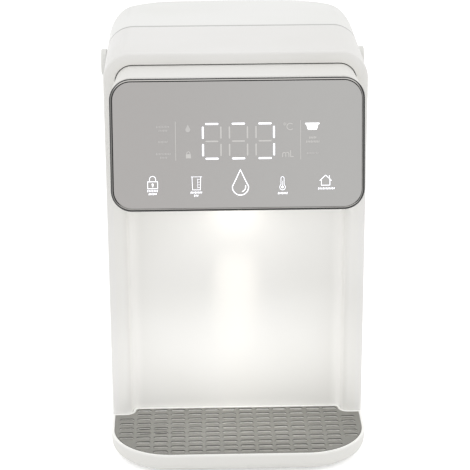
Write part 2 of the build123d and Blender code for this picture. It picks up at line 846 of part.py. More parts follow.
def dock_socket():
    bore = spigot_radius + spigot_clearance
    outer = bore + socket_wall
    solid = rod(outer, (0, valve_y, socket_bottom), (0, valve_y, dock_height))
    under = dock_height - body_wall
    solid += rod(outer + socket_flange, (0, valve_y, under - socket_flange_height), (0, valve_y, under))
    solid += rod(hose_bore, (0, valve_y - bore, port_z), (0, valve_y - outer - barb_length, port_z))
    solid -= rod(bore, (0, valve_y, socket_bottom + socket_floor), (0, valve_y, dock_height + 1))
    groove = spigot_radius + seal_ring_clearance + 2 * seal_ring_radius + seal_ring_clearance
    half = seal_ring_radius + seal_ring_clearance
    solid -= rod(groove, (0, valve_y, seal_z - half), (0, valve_y, seal_z + half))
    end = valve_y - outer - barb_length
    solid -= rod(hose_bore - barb_wall, (0, valve_y - bore + past, port_z), (0, end - past, port_z))
    floor = socket_bottom + socket_floor
    return solid + rod(dock_pin_radius, (0, valve_y, floor), (0, valve_y, stem_bottom()))


def stem_bottom():
    # Under side of the valve's stem with the tank seated: the pin in the socket holds it up.
    return spigot_bottom + 0.2 + valve_travel


def dock_seal():
    ring = spigot_radius + seal_ring_clearance + seal_ring_radius
    return Pos(0, valve_y, seal_z) * Torus(ring, seal_ring_radius)


def tank_shell():
    solid = extrude_up(tank_plan(0), dock_height, lid_bottom)
    solid -= extrude_up(tank_plan(tank_wall), dock_height + tank_floor, lid_bottom + 1)
    outer = lid_wall + neck_gap
    inner = outer + neck_wall
    ring = extrude_up(tank_plan(outer), lid_bottom - 4, lid_bottom + neck_height)
    solid += ring - extrude_up(tank_plan(inner), lid_bottom - 5, lid_bottom + neck_height + 1)
    ledge = extrude_up(tank_plan(tank_wall - 0.5), lid_bottom - 4, lid_bottom)
    solid += ledge - extrude_up(tank_plan(inner), lid_bottom - 5, lid_bottom + 1)
    side = body_width / 2
    for sign in (-1, 1):
        solid += rod(pivot_boss_radius, (sign * (side - 1), pivot_y, pivot_z),
                     (sign * (side - pivot_boss_depth - tank_wall), pivot_y, pivot_z))
        solid -= rod(pin_radius + 0.02, (sign * (side + 1), pivot_y, pivot_z),
                     (sign * (side - pivot_boss_depth), pivot_y, pivot_z))
    floor = dock_height + tank_floor
    return solid - rod(spigot_radius + fit_gap, (0, valve_y, dock_height - past), (0, valve_y, floor + past))


def tank_lid():
    solid = lid_block(0)
    front = [e for e in solid.edges().filter_by_position(Axis.Y, tank_front_y, tank_front_y)
             if e.center().Z > lid_bottom + 0.01]
    return fillet(front, seam_edge) - lid_block(lid_wall)


def lid_block(inset):
    # The tank's plan under the body's round shoulders.
    bottom = lid_bottom if inset == 0 else lid_bottom - past
    solid = extrude_up(tank_plan(inset), bottom, body_height - inset)
    top = solid.edges().group_by(Axis.Z)[-1]
    solid = fillet([e for e in top if e.center().Y > tank_front_y + inset + past], lid_edge)
    return solid & extrude_back(front_outline(inset, bottom - past), tank_front_y, tank_back_y)


def valve_body():
    floor = dock_height + tank_floor
    solid = rod(spigot_radius, (0, valve_y, spigot_bottom), (0, valve_y, cap_bottom))
    solid += rod(valve_flange_radius, (0, valve_y, floor), (0, valve_y, floor + valve_flange))
    solid -= rod(valve_bore, (0, valve_y, seat_top), (0, valve_y, cap_bottom + 1))
    solid -= rod(seat_hole, (0, valve_y, spigot_bottom - 1), (0, valve_y, seat_top + 1))
    low = floor + valve_flange + strainer_rim
    high = cap_bottom - 2 * strainer_rim
    for angle in (0, 90):
        slot = Rot(0, 0, angle) * Box(2 * spigot_radius + 2 * past, strainer_slot, high - low)
        solid -= Pos(0, valve_y, (low + high) / 2) * slot
    return solid


def valve_cap():
    solid = rod(spigot_radius, (0, valve_y, cap_bottom), (0, valve_y, cap_bottom + cap_thickness))
    solid += rod(valve_bore - fit_gap, (0, valve_y, cap_bottom - 1.2), (0, valve_y, cap_bottom))
    return solid - rod(stem_radius + stem_clearance, (0, valve_y, cap_bottom - 2),
                       (0, valve_y, cap_bottom + cap_thickness + 1))


def seal_bottom():
    return seat_top + 0.1 + valve_travel


def valve_seal():
    low = seal_bottom()
    solid = rod(valve_seal_radius, (0, valve_y, low), (0, valve_y, low + valve_seal_thickness))
    return solid - rod(lower_stem_radius, (0, valve_y, low - 1), (0, valve_y, low + valve_seal_thickness + 1))


def valve_plunger():
    disc = seal_bottom() + valve_seal_thickness
    top = cap_bottom + cap_thickness + 1
    solid = rod(lower_stem_radius, (0, valve_y, stem_bottom()), (0, valve_y, disc))
    solid += rod(valve_seal_radius, (0, valve_y, disc), (0, valve_y, disc + plunger_disc))
    return solid + rod(stem_radius, (0, valve_y, disc + plunger_disc), (0, valve_y, top))


def arc_pair(start, start_way, end, end_way):
    # Two arcs that leave start along start_way, meet smoothly, and reach end along end_way.
    gap = end - start
    both = start_way + end_way
    a = 2 * (start_way.dot(end_way) - 1)
    b = -2 * gap.dot(both)
    reach = (-b - math.sqrt(b * b - 4 * a * gap.dot(gap))) / (2 * a)
    first = start + start_way * reach
    second = end - end_way * reach
    middle = (first + second) * 0.5
    way = (second - first).normalized()
    return [Edge.make_tangent_arc(start, start_way, middle), Edge.make_tangent_arc(middle, way, end)]


def valve_spring():
    low = seal_bottom() + valve_seal_thickness + plunger_disc + spring_wire / 2 + 0.05
    high = cap_bottom - 1.2 - spring_wire / 2 - 0.05
    steps = 4 * spring_turns
    rise = (high - low) / steps

    def place(step):
        angle = step * math.pi / 2
        x = spring_radius * math.cos(angle)
        y = spring_radius * math.sin(angle)
        return Vector(x, valve_y + y, low + rise * step)

    def way(step):
        angle = step * math.pi / 2
        slope = rise / (math.pi / 2)
        return Vector(-spring_radius * math.sin(angle), spring_radius * math.cos(angle), slope).normalized()

    edges = []
    for step in range(steps):
        edges += arc_pair(place(step), way(step), place(step + 1), way(step + 1))
    print("valve spring gap between turns", round(4 * rise - spring_wire, 2))
    section = Plane(origin=place(0), z_dir=way(0)) * Circle(spring_wire / 2)
    return sweep(section, path=Wire(edges))


def pump_cover():
    solid = rod(pump_radius, (0, pump_y, pump_base), (0, pump_y, volute_base))
    back = pump_y + pump_radius
    way = hose_bore - barb_wall
    solid += rod(hose_bore, (0, back - 2 * past, port_z), (0, back + barb_length, port_z))
    solid -= rod(way, (0, pump_y, port_z), (0, back + barb_length + past, port_z))
    return solid - rod(way, (0, pump_y, port_z), (0, pump_y, volute_base + past))


def pump_outlet():
    # The end of the pump's outlet tube, beside the volute.
    return (pump_radius + barb_length, pump_y - impeller_radius + 1, volute_base + pump_height / 2)


def pump_housing():
    solid = rod(pump_radius, (0, pump_y, volute_base), (0, pump_y, motor_base))
    x, y, z = pump_outlet()
    solid += rod(hose_bore, (4, y, z), (x, y, z))
    solid -= rod(pump_radius - pump_wall, (0, pump_y, volute_base - past), (0, pump_y, motor_base - pump_wall))
    solid -= rod(hose_bore - barb_wall, (6, y, z), (x + past, y, z))
    hole = shaft_radius + shaft_clearance
    return solid - rod(hole, (0, pump_y, motor_base - pump_wall - past), (0, pump_y, motor_base + past))


def pump_impeller():
    low = volute_base + impeller_gap
    face = low + impeller_disc
    solid = rod(impeller_radius, (0, pump_y, low), (0, pump_y, face))
    solid += rod(impeller_hub, (0, pump_y, low), (0, pump_y, face + blade_height))
    for index in range(impeller_blades):
        blade = Pos((impeller_radius + impeller_hub) / 2 - 0.5, 0, 0) * Box(
            impeller_radius - impeller_hub + 0.6, blade_thickness, blade_height)
        turned = Rot(0, 0, 360 / impeller_blades * index) * blade
        solid += Pos(0, pump_y, face + blade_height / 2) * turned
    return solid + rod(shaft_radius, (0, pump_y, low + 1), (0, pump_y, motor_base + 8))


def pump_motor():
    top = motor_base + motor_height
    solid = rod(motor_radius, (0, pump_y, motor_base), (0, pump_y, top))
    solid = fillet(solid.edges().group_by(Axis.Z)[-1], motor_edge)
    solid += rod(motor_nose_radius, (0, pump_y, top), (0, pump_y, top + motor_nose))
    thin = motor_tab_thickness / 2
    wide = motor_tab_width / 2
    for middle in (-motor_tab_spread / 2, motor_tab_spread / 2):
        solid += block((middle - thin, pump_y - wide, top - past),
                       (middle + thin, pump_y + wide, top + motor_tab_length))
    bore = shaft_radius + shaft_clearance
    return solid - rod(bore, (0, pump_y, motor_base - past), (0, pump_y, motor_base + motor_bore_depth))


def pump_mount():
    rim = pump_base + pump_mount_lap
    solid = rod(pump_radius + pump_mount_rim, (0, pump_y, plate_top), (0, pump_y, rim))
    return solid - rod(pump_radius + fit_gap, (0, pump_y, pump_base), (0, pump_y, rim + past))


def heater_axis(z):
    x, y, height = pump_outlet()
    return (column_x, y, z)


def flow_meter_body():
    low = flow_meter_bottom
    high = low + flow_meter_height
    solid = rod(flow_meter_radius, heater_axis(low), heater_axis(high))
    solid += rod(hose_bore, heater_axis(low - meter_barb), heater_axis(low))
    solid += rod(hose_bore, heater_axis(high), heater_axis(high + meter_barb))
    solid -= rod(flow_meter_radius - flow_meter_wall, heater_axis(low + flow_meter_wall),
                 heater_axis(high - flow_meter_wall))
    way = hose_bore - barb_wall
    solid -= rod(way, heater_axis(low - barb_length - past), heater_axis(low + flow_meter_wall + past))
    solid -= rod(way, heater_axis(high - flow_meter_wall - past), heater_axis(high + barb_length))
    x, y, z = heater_axis(low)
    wall = y + flow_meter_radius
    box_low = (x - sensor_width / 2, wall - sensor_root, low + sensor_margin)
    box_high = (x + sensor_width / 2, wall + sensor_depth, high - sensor_margin)
    return solid + block(box_low, box_high)


def flow_meter_rotor():
    low = flow_meter_bottom + flow_meter_wall + rotor_end_gap
    high = flow_meter_bottom + flow_meter_height - flow_meter_wall - rotor_end_gap
    solid = rod(rotor_hub, heater_axis(low), heater_axis(high))
    x, y, z = heater_axis((low + high) / 2)
    for index in range(rotor_blades):
        blade = Pos(rotor_radius / 2 + 0.5, 0, 0) * Box(
            rotor_radius - 1, rotor_blade_thickness, high - low - 3)
        solid += Pos(x, y, z) * (Rot(0, 0, 360 / rotor_blades * index) * blade)
    return solid - rod(axle_radius + rotor_clearance, heater_axis(low - 1), heater_axis(high + 1))


def flow_meter_axle():
    low = flow_meter_bottom + flow_meter_wall
    high = flow_meter_bottom + flow_meter_height - flow_meter_wall
    x, y, z = heater_axis(low)
    solid = rod(axle_radius, heater_axis(low + axle_bar_height), heater_axis(high - axle_bar_height))
    long = flow_meter_radius - flow_meter_wall - 0.1
    half = axle_bar / 2
    for level in (low, high - axle_bar_height):
        top = level + axle_bar_height
        solid += block((x - long, y - half, level), (x + long, y + half, top))
        solid += block((x - half, y - long, level), (x + half, y + long, top))
    return solid


def heater_tube():
    solid = rod(heater_radius, heater_axis(heater_bottom), heater_axis(heater_top))
    inside = heater_radius - heater_wall
    return solid - rod(inside, heater_axis(heater_bottom - past), heater_axis(heater_top + past))


def heater_core():
    radius = heater_radius - heater_wall - heater_core_gap
    return rod(radius, heater_axis(heater_bottom), heater_axis(heater_top))


def heater_cap_solid(low, high, port_end):
    solid = rod(heater_radius + heater_cap_rim, heater_axis(low), heater_axis(high))
    solid += rod(hose_bore, heater_axis(min(high, port_end)), heater_axis(max(low, port_end)))
    start = min(low, port_end) - past
    end = max(high, port_end) + past
    return solid - rod(hose_bore - barb_wall, heater_axis(start), heater_axis(end))


def heater_lower_cap():
    low = heater_bottom - heater_cap
    return heater_cap_solid(low, heater_bottom, low - meter_barb)


def heater_upper_cap():
    return heater_cap_solid(heater_top, heater_top + heater_cap, heater_top + heater_cap + barb_length)


def heater_brackets():
    straps = []
    x, y, z = heater_axis(0)
    neck = bracket_neck / 2
    foot = bracket_foot / 2
    for level in (heater_bottom + bracket_inset, heater_top - bracket_inset - bracket_width):
        high = level + bracket_width
        strap = rod(heater_radius + bracket_thickness, heater_axis(level), heater_axis(high))
        strap += block((x - neck, y, level), (x + neck, partition_y, high))
        strap += block((x - foot, partition_y - bracket_thickness, level), (x + foot, partition_y, high))
        strap -= rod(heater_radius, heater_axis(level - past), heater_axis(high + past))
        straps.append(strap)
    return Compound(children=straps)


def thermal_cutouts():
    parts = []
    x, y, z = heater_axis(0)
    end = x - heater_radius - cutout_height
    for level in (heater_bottom + cutout_rise, heater_bottom + cutout_rise + cutout_pitch):
        solid = rod(cutout_radius, (x - heater_radius + past, y, level), (end, y, level))
        half = cutout_pitch / 2
        solid -= rod(heater_radius, heater_axis(level - half), heater_axis(level + half))
        for middle in (y - tab_pitch / 2, y + tab_pitch / 2):
            solid += block((end - tab_length, middle - tab_width / 2, level - tab_thickness / 2),
                           (end, middle + tab_width / 2, level + tab_thickness / 2))
        parts.append(solid)
    return Compound(children=parts)


def temperature_probe():
    x, y, z = heater_axis(heater_top + heater_cap)
    back = y + probe_offset
    solid = rod(probe_base_radius, (x, back, z), (x, back, z + probe_base))
    return solid + rod(probe_radius, (x, back, z + probe_base), (x, back, z + probe_length))


def hose(points, radii):
    # A tube along straight runs joined by arcs, from point to point.
    print("hose bend radii", radii)
    if radii:
        path = FilletPolyline(*points, radius=radii)
    else:
        path = Polyline(*points)
    way = Vector(*points[1]) - Vector(*points[0])
    section = Plane(origin=points[0], z_dir=way) * (Circle(hose_radius) - Circle(hose_bore))
    return sweep(section, path=path)


def hose_tank_to_pump():
    start = valve_y - spigot_radius - spigot_clearance - socket_wall - 2 * hose_end_gap
    return hose([(0, start, port_z), (0, pump_y + pump_radius + 2 * hose_end_gap, port_z)], [])


def hose_pump_to_meter():
    x, y, z = pump_outlet()
    points = [
        (x - barb_length + 3 * hose_end_gap, y, z),
        (column_x, y, z),
        (column_x, y, flow_meter_bottom - 2 * hose_end_gap),
    ]
    return hose(points, [12.0])


def hose_meter_to_heater():
    low = flow_meter_bottom + flow_meter_height + hose_end_gap
    return hose([heater_axis(low), heater_axis(heater_bottom - heater_cap - hose_end_gap)], [])


def hose_heater_to_spout():
    x, y, z = heater_axis(heater_top + heater_cap + hose_end_gap)
    end_x, end_y, end_z = chamber_port()
    points = [
        (x, y, z),
        (x, y, z + riser_height),
        (x - riser_lean, rim_y + riser_lean, z + riser_height + riser_turn),
        (x - riser_step, end_y, end_z),
        (end_x - barb_length + 2 * hose_end_gap, end_y, end_z),
    ]
    return hose(points, [15.0, 24.0, 15.0])


def hose_clips():
    clips = []
    rows = [
        ((0, valve_y - spigot_radius - socket_wall - 5, port_z), (0, -1, 0)),
        ((0, pump_y + pump_radius + 5, port_z), (0, 1, 0)),
        (pump_outlet(), (-1, 0, 0)),
        (heater_axis(flow_meter_bottom - 4), (0, 0, -1)),
        (heater_axis(heater_top + heater_cap + 5), (0, 0, 1)),
    ]
    for place, way in rows:
        middle = Vector(*place)
        along = Vector(*way)
        ring = rod(hose_radius + clip_wall, middle - along * clip_width / 2, middle + along * clip_width / 2)
        clips.append(ring - rod(hose_radius, middle - along * clip_width, middle + along * clip_width))
    return Compound(children=clips)


def rear_partition():
    low = plate_top
    solid = extrude_back(front_outline(body_wall + fit_gap, low), partition_y, seam_y)
    half = partition_arch / 2
    arch_top = port_z + hose_radius + partition_arch_gap
    solid -= block((-half, partition_y - past, low - past), (half, seam_y + past, arch_top))
    for x, z in partition_screw_places():
        solid -= rod(screw_hole, (x, partition_y - 1, z), (x, seam_y + 1, z))
        solid -= rod(screw_head_radius + fit_gap, (x, seam_y - screw_head, z), (x, seam_y + 1, z))
    half = louvre_length / 2
    for level in range(louvre_count):
        z = body_height - louvre_drop + level * louvre_pitch
        solid -= block((-half, partition_y - past, z), (half, seam_y + past, z + louvre_height))
    return solid


def partition_screws():
    screws = []
    for x, z in partition_screw_places():
        end = seam_y - screw_head - partition_screw_length
        screw = rod(screw_radius, (x, seam_y - screw_head, z), (x, end, z))
        screws.append(screw + rod(screw_head_radius, (x, seam_y - screw_head, z), (x, seam_y - 0.1, z)))
    return Compound(children=screws)


def board_on_partition(bottom, height, parts):
    # A board on four standoffs in front of the partition, with its larger components.
    face = partition_y - standoff_length
    left = -board_edge
    right = left + board_width
    solid = block((left, face - board_thickness, bottom), (right, face, bottom + height))
    for x in (left + 4, right - 4):
        for z in (bottom + 4, bottom + height - 4):
            solid += rod(standoff_radius, (x, face, z), (x, partition_y, z))
    for x, z, width, tall, deep in parts:
        front = face - board_thickness - deep
        corner = (left + x + width, face - board_thickness, bottom + z + tall)
        solid += block((left + x, front, bottom + z), corner)
    return solid


def power_board():
    parts = [(6, 10, 20, 22, 16), (32, 8, 16, 12, 12), (34, 26, 14, 24, 10), (8, 40, 18, 14, 14),
             (6, 62, 12, 20, 18), (24, 60, 10, 10, 20), (38, 58, 12, 26, 6)]
    return board_on_partition(power_board_bottom, power_board_height, parts)


def control_board():
    parts = [(18, 30, 14, 14, 1.6), (8, 8, 22, 6, 7), (36, 10, 12, 16, 9), (6, 54, 16, 6, 8),
             (34, 48, 10, 10, 2),
             (cable_x - socket_width / 2 + board_edge, socket_rise, socket_width, socket_height, socket_depth)]
    return board_on_partition(control_board_bottom, control_board_height, parts)


def inlet_gland():
    back = tank_back_y - (rear_bow_radius - math.sqrt(rear_bow_radius ** 2 - gland_x ** 2))
    seat = back - body_wall - gland_seat_gap
    front = seat - gland_collar_length
    solid = rod(gland_radius, (gland_x, front, gland_z), (gland_x, front + gland_length, gland_z))
    solid += rod(gland_collar, (gland_x, front, gland_z), (gland_x, seat, gland_z))
    return solid - rod(gland_bore, (gland_x, front - 1, gland_z), (gland_x, front + gland_length + 1, gland_z))


def handle_frame(solid):
    # Lays a handle drawn flat, arms along +Y from the pivot, down to its rest on the tank's back.
    return Pos(0, pivot_y, pivot_z) * (Rot(-math.degrees(handle_drop), 0, 0) * solid)


def handle_places():
    inner = body_width / 2 + handle_gap
    return inner, inner + handle_thickness


def tank_handle():
    inner, outer = handle_places()
    end = handle_arm + handle_thickness / 2
    inner_corner = handle_corner - handle_thickness
    outline = make_face([
        Line((outer, 0), (outer, end - handle_corner)),
        CenterArc((outer - handle_corner, end - handle_corner), handle_corner, 0, 90),
        Line((outer - handle_corner, end), (handle_corner - outer, end)),
        CenterArc((handle_corner - outer, end - handle_corner), handle_corner, 90, 90),
        Line((-outer, end - handle_corner), (-outer, 0)),
        Line((-outer, 0), (-inner, 0)),
        Line((-inner, 0), (-inner, end - handle_corner)),
        CenterArc((inner_corner - inner, end - handle_corner), inner_corner, 180, -90),
        Line((inner_corner - inner, end - handle_thickness), (inner - inner_corner, end - handle_thickness)),
        CenterArc((inner - inner_corner, end - handle_corner), inner_corner, 90, -90),
        Line((inner, end - handle_corner), (inner, 0)),
        Line((inner, 0), (outer, 0)),
    ])
    solid = extrude_up(outline, -handle_width / 2, handle_width / 2)
    for sign in (-1, 1):
        solid += rod(handle_hub_radius, (sign * inner, 0, 0), (sign * outer, 0, 0))
    for sign in (-1, 1):
        solid -= rod(pin_radius + pin_clearance, (sign * (inner - 1), 0, 0), (sign * (outer + 1), 0, 0))
        seat = outer - pin_head - pin_head_gap
        solid -= rod(pin_head_radius + pin_head_gap, (sign * seat, 0, 0), (sign * (outer + past), 0, 0))
    return handle_frame(solid)


def handle_grip():
    solid = rod(grip_radius, (-grip_length / 2, handle_arm, 0), (grip_length / 2, handle_arm, 0))
    solid = fillet(solid.edges().filter_by(GeomType.CIRCLE), grip_edge)
    deep = handle_thickness / 2
    wide = handle_width / 2
    solid -= block((-grip_length, handle_arm - deep, -wide), (grip_length, handle_arm + deep, wide))
    return handle_frame(solid)


def handle_pins():
    inner, outer = handle_places()
    pins = []
    for sign in (-1, 1):
        pin = rod(pin_radius, (sign * (body_width / 2 - pivot_boss_depth + 0.5), pivot_y, pivot_z),
                  (sign * (outer - pin_head), pivot_y, pivot_z))
        seat = outer - pin_head
        pin += rod(pin_head_radius, (sign * seat, pivot_y, pivot_z), (sign * outer, pivot_y, pivot_z))
        pins.append(pin)
    return Compound(children=pins)


def drip_tray():
    solid = extrude_up(tray_plan(0), tray_bottom, tray_top)
    lower = solid.edges().group_by(Axis.Z)[0]
    turned = [e for e in lower if e.center().Y < rim_y - tray_gap - 1]
    solid = fillet(turned, tray_lower_edge)
    solid -= extrude_up(tray_plan(tray_wall), grille_bottom, tray_top + 1)
    ledge = tray_wall + ledge_width
    floor = tray_bottom + tray_floor
    solid -= extrude_up(tray_plan(ledge), floor + tray_step, grille_bottom + past)
    solid -= extrude_up(tray_plan(ledge + tray_step), floor, grille_bottom)
    for side in (-1, 1):
        x = side * tongue_spread / 2
        solid += block((x - tongue_width / 2, splash_y - tray_gap - 1, tongue_bottom),
                       (x + tongue_width / 2, splash_y + tongue_length, tongue_bottom + tongue_height))
    return solid


def tray_feet():
    feet = []
    for side in (-1, 1):
        x = side * tray_foot_spread / 2
        y = rim_y - tray_foot_reach
        feet.append(rod(tray_foot_radius, (x, y, 0), (x, y, tray_bottom)))
    return Compound(children=feet)


def slot_places():
    # Slot middles that keep their margin to the grille's edge and to the cheeks.
    corner_x = body_width / 2 - tray_corner
    corner_y = rim_y - tray_reach + tray_corner
    limit = tray_corner - tray_wall - grille_gap - slot_margin - slot_width / 2
    places = []
    for column in range(slot_columns):
        x = (column - (slot_columns - 1) / 2) * slot_pitch_x
        far_x = abs(x) + slot_length / 2
        end_x = far_x - slot_width / 2
        for row in range(slot_rows):
            y = rim_y + slot_first_row - row * slot_pitch_y
            in_corner = end_x > corner_x and y < corner_y
            past_corner = in_corner and math.hypot(end_x - corner_x, y - corner_y) > limit
            by_cheek = far_x > bay_side - slot_margin and y > rim_y - slot_cheek_margin
            if not past_corner and not by_cheek:
                places.append((x, y))
    return places


def drip_grille():
    plate = tray_plan(tray_wall + grille_gap)
    slots = [Pos(x, y) * SlotOverall(slot_length, slot_width) for x, y in slot_places()]
    return extrude_up(plate - slots, grille_bottom, tray_top)


pieces = {
    "housing_shell": housing_shell,
    "front_frame": front_frame,
    "head_shell": head_shell,
    "head_underside": head_underside,
    "panel_bezel": panel_bezel,
    "display_panel": display_panel,
    "display_board": display_board,
    "digit_light_box": digit_light_box,
    "touch_pads": touch_pads,
    "display_cable": display_cable,
    "lamp_lens": lamp_lens,
    "lamp_board": lamp_board,
    "spout_nozzle": spout_nozzle,
    "outlet_chamber": outlet_chamber,
    "bottom_plate": bottom_plate,
    "rubber_feet": rubber_feet,
    "bottom_screws": bottom_screws,
    "tank_dock": tank_dock,
    "dock_socket": dock_socket,
    "dock_seal": dock_seal,
    "rear_partition": rear_partition,
    "partition_screws": partition_screws,
    "tank_shell": tank_shell,
    "tank_lid": tank_lid,
    "valve_body": valve_body,
    "valve_cap": valve_cap,
    "valve_plunger": valve_plunger,
    "valve_seal": valve_seal,
    "valve_spring": valve_spring,
    "tank_handle": tank_handle,
    "handle_grip": handle_grip,
    "handle_pins": handle_pins,
    "pump_mount": pump_mount,
    "pump_cover": pump_cover,
    "pump_housing": pump_housing,
    "pump_impeller": pump_impeller,
    "pump_motor": pump_motor,
    "flow_meter_body": flow_meter_body,
    "flow_meter_axle": flow_meter_axle,
    "flow_meter_rotor": flow_meter_rotor,
    "heater_tube": heater_tube,
    "heater_core": heater_core,
    "heater_lower_cap": heater_lower_cap,
    "heater_upper_cap": heater_upper_cap,
    "heater_brackets": heater_brackets,
    "thermal_cutouts": thermal_cutouts,
    "temperature_probe": temperature_probe,
    "hose_tank_to_pump": hose_tank_to_pump,
    "hose_pump_to_meter": hose_pump_to_meter,
    "hose_meter_to_heater": hose_meter_to_heater,
    "hose_heater_to_spout": hose_heater_to_spout,
    "hose_clips": hose_clips,
    "power_board": power_board,
    "control_board": control_board,
    "inlet_gland": inlet_gland,
    "drip_tray": drip_tray,
    "tray_feet": tray_feet,
    "drip_grille": drip_grille,
}

os.makedirs("parts", exist_ok=True)
for name, make in pieces.items():
    export_step(make(), "parts/" + name + ".step")
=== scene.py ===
# Countertop hot water dispenser: camera, light and the finish of every piece round its fixed frame.
# Metres, +X to the right, +Y to the back, +Z up, the origin on the counter under the object.
import json
import math

import bmesh
import bpy
from mathutils import Matrix, Vector


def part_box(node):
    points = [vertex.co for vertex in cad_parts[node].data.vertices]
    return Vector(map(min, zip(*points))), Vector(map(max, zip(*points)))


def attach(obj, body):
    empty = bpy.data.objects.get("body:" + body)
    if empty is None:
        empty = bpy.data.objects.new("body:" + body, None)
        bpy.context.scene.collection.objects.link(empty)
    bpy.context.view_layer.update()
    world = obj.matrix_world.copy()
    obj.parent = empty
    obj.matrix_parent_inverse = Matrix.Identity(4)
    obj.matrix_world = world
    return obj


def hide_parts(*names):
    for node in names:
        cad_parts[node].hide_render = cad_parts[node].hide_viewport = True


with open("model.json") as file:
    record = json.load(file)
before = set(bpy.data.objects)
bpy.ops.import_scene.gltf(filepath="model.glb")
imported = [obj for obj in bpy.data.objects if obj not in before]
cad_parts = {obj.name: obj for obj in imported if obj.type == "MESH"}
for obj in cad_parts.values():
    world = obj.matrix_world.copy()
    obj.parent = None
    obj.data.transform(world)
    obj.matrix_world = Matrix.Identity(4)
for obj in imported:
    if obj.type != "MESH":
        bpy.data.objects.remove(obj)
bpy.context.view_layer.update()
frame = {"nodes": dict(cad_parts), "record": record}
nodes = frame["nodes"]
bodyOf = {node: body for body, held in frame["record"]["behaviour"]["bodies"].items() for node in held}
slotOf = {part["node"]: part["material_slot"] for part in frame["record"]["subparts"]}
mm = 0.001
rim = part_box("front_frame")[0].y  # the front frame's rim, where the head and the cup bay begin
panelTilt = math.radians(11.5)  # how far the control panel leans back from upright


def newObject(name, data):
    made = bpy.data.objects.new(name, data)
    bpy.context.scene.collection.objects.link(made)
    return made


# Shader maths: one socket of a material or a geometry tree, with the usual signs.
class Flow:
    def __init__(self, tree, socket=None):
        self.tree = tree
        self.socket = socket

    def add(self, kind, settings=None, inputs=None, out=0):
        node = self.tree.nodes.new(kind)
        for name, value in (settings or {}).items():
            setattr(node, name, value)
        for name, value in (inputs or {}).items():
            if isinstance(value, Flow):
                self.tree.links.new(value.socket, node.inputs[name])
            else:
                node.inputs[name].default_value = value
        return Flow(self.tree, node.outputs[out] if len(node.outputs) else None)

    def maths(self, operation, *others):
        return self.add("ShaderNodeMath", {"operation": operation}, dict(enumerate((self,) + others)))

    def __add__(self, other):
        return self.maths("ADD", other)

    def __sub__(self, other):
        return self.maths("SUBTRACT", other)

    def __rsub__(self, other):
        return self.add("ShaderNodeMath", {"operation": "SUBTRACT"}, {0: other, 1: self})

    def __mul__(self, other):
        return self.maths("MULTIPLY", other)

    def __truediv__(self, other):
        return self.maths("DIVIDE", other)

    __radd__ = __add__
    __rmul__ = __mul__

    def size(self):
        return self.maths("ABSOLUTE")

    def atLeast(self, other):
        return self.maths("MAXIMUM", other)

    def along(self, axis):
        return self.add("ShaderNodeSeparateXYZ", None, {"Vector": self}, out=axis)

    def between(self, low, high):
        return self.add("ShaderNodeMapRange", {"interpolation_type": "SMOOTHSTEP"},
                        {"Value": self, "From Min": low, "From Max": high})


def srgb(red, green, blue):
    # The colour that a shader needs for these screen values, 0 to 255.
    def straight(value):
        value /= 255
        return value / 12.92 if value <= 0.04045 else ((value + 0.055) / 1.055) ** 2.4
    return (straight(red), straight(green), straight(blue), 1.0)


def dimmed(colour, share):
    return tuple(share * part for part in srgb(*colour)[:3]) + (1.0,)


def newMaterial(name):
    material = bpy.data.materials.new(name)
    material.use_nodes = True
    material.node_tree.nodes.clear()
    flow = Flow(material.node_tree)
    place = flow.add("ShaderNodeTexCoord", out="Object")
    return material, flow, place


def noise(place, scale, detail=3.0, roughness=0.5):
    return place.add("ShaderNodeTexNoise", {"noise_dimensions": "3D"},
                     {"Vector": place, "Scale": scale, "Detail": detail, "Roughness": roughness})


def blend(factor, first, second):
    return factor.add("ShaderNodeMix", {"data_type": "RGBA"}, {0: factor, 6: first, 7: second}, out=2)


def finishMaterial(flow, **values):
    # Constants go on the shader's own sockets, and what varies is linked to them.
    sockets = {name.replace("_", " "): value for name, value in values.items()}
    shader = flow.add("ShaderNodeBsdfPrincipled", None, sockets)
    flow.add("ShaderNodeOutputMaterial", None, {"Surface": shader})


def bump(height, strength, distance):
    # The distance is in millimetres.
    return height.add("ShaderNodeBump", None,
                      {"Height": height, "Strength": strength, "Distance": distance * mm})


def plastic(colour, tone, roughness, scale, depth):
    # A moulded plastic. Its second tone drifts over the surface; scale and depth are those of its grain.
    return {"colour": colour, "tone": tone, "roughness": roughness, "grain": (scale, depth)}


plasticLooks = {
    "housing": plastic((236, 235, 233), (231, 230, 227), 0.44, 1500, 0.018),
    "lid": plastic((240, 240, 238), (236, 236, 233), 0.46, 1500, 0.018),
    "front_frame": plastic((236, 235, 232), (231, 230, 226), 0.42, 1500, 0.015),
    "head": plastic((236, 235, 232), (231, 230, 226), 0.40, 1500, 0.015),
    "tray": plastic((236, 235, 232), (230, 229, 225), 0.42, 1500, 0.015),
    "handle": plastic((236, 236, 233), (230, 230, 226), 0.42, 1500, 0.015),
    "grip": plastic((214, 213, 209), (206, 205, 201), 0.55, 2200, 0.03),
    "nozzle": plastic((222, 221, 218), (214, 213, 209), 0.35, 1200, 0.01),
    "grille": plastic((138, 137, 132), (131, 130, 124), 0.38, 1800, 0.02),
    "inner_plastic": plastic((208, 207, 202), (197, 196, 190), 0.42, 900, 0.02),
    "dark_plastic": plastic((52, 52, 54), (44, 44, 46), 0.48, 1100, 0.03),
    "valve": plastic((226, 228, 228), (216, 218, 218), 0.36, 900, 0.015),
    "light_box": plastic((243, 243, 240), (236, 236, 232), 0.5, 1300, 0.02),
    "rubber": plastic((62, 62, 64), (50, 50, 52), 0.72, 1600, 0.05),
    "seal": plastic((198, 194, 188), (186, 182, 176), 0.58, 1400, 0.03),
    "hose": plastic((222, 217, 208), (206, 201, 192), 0.40, 700, 0.02),
}
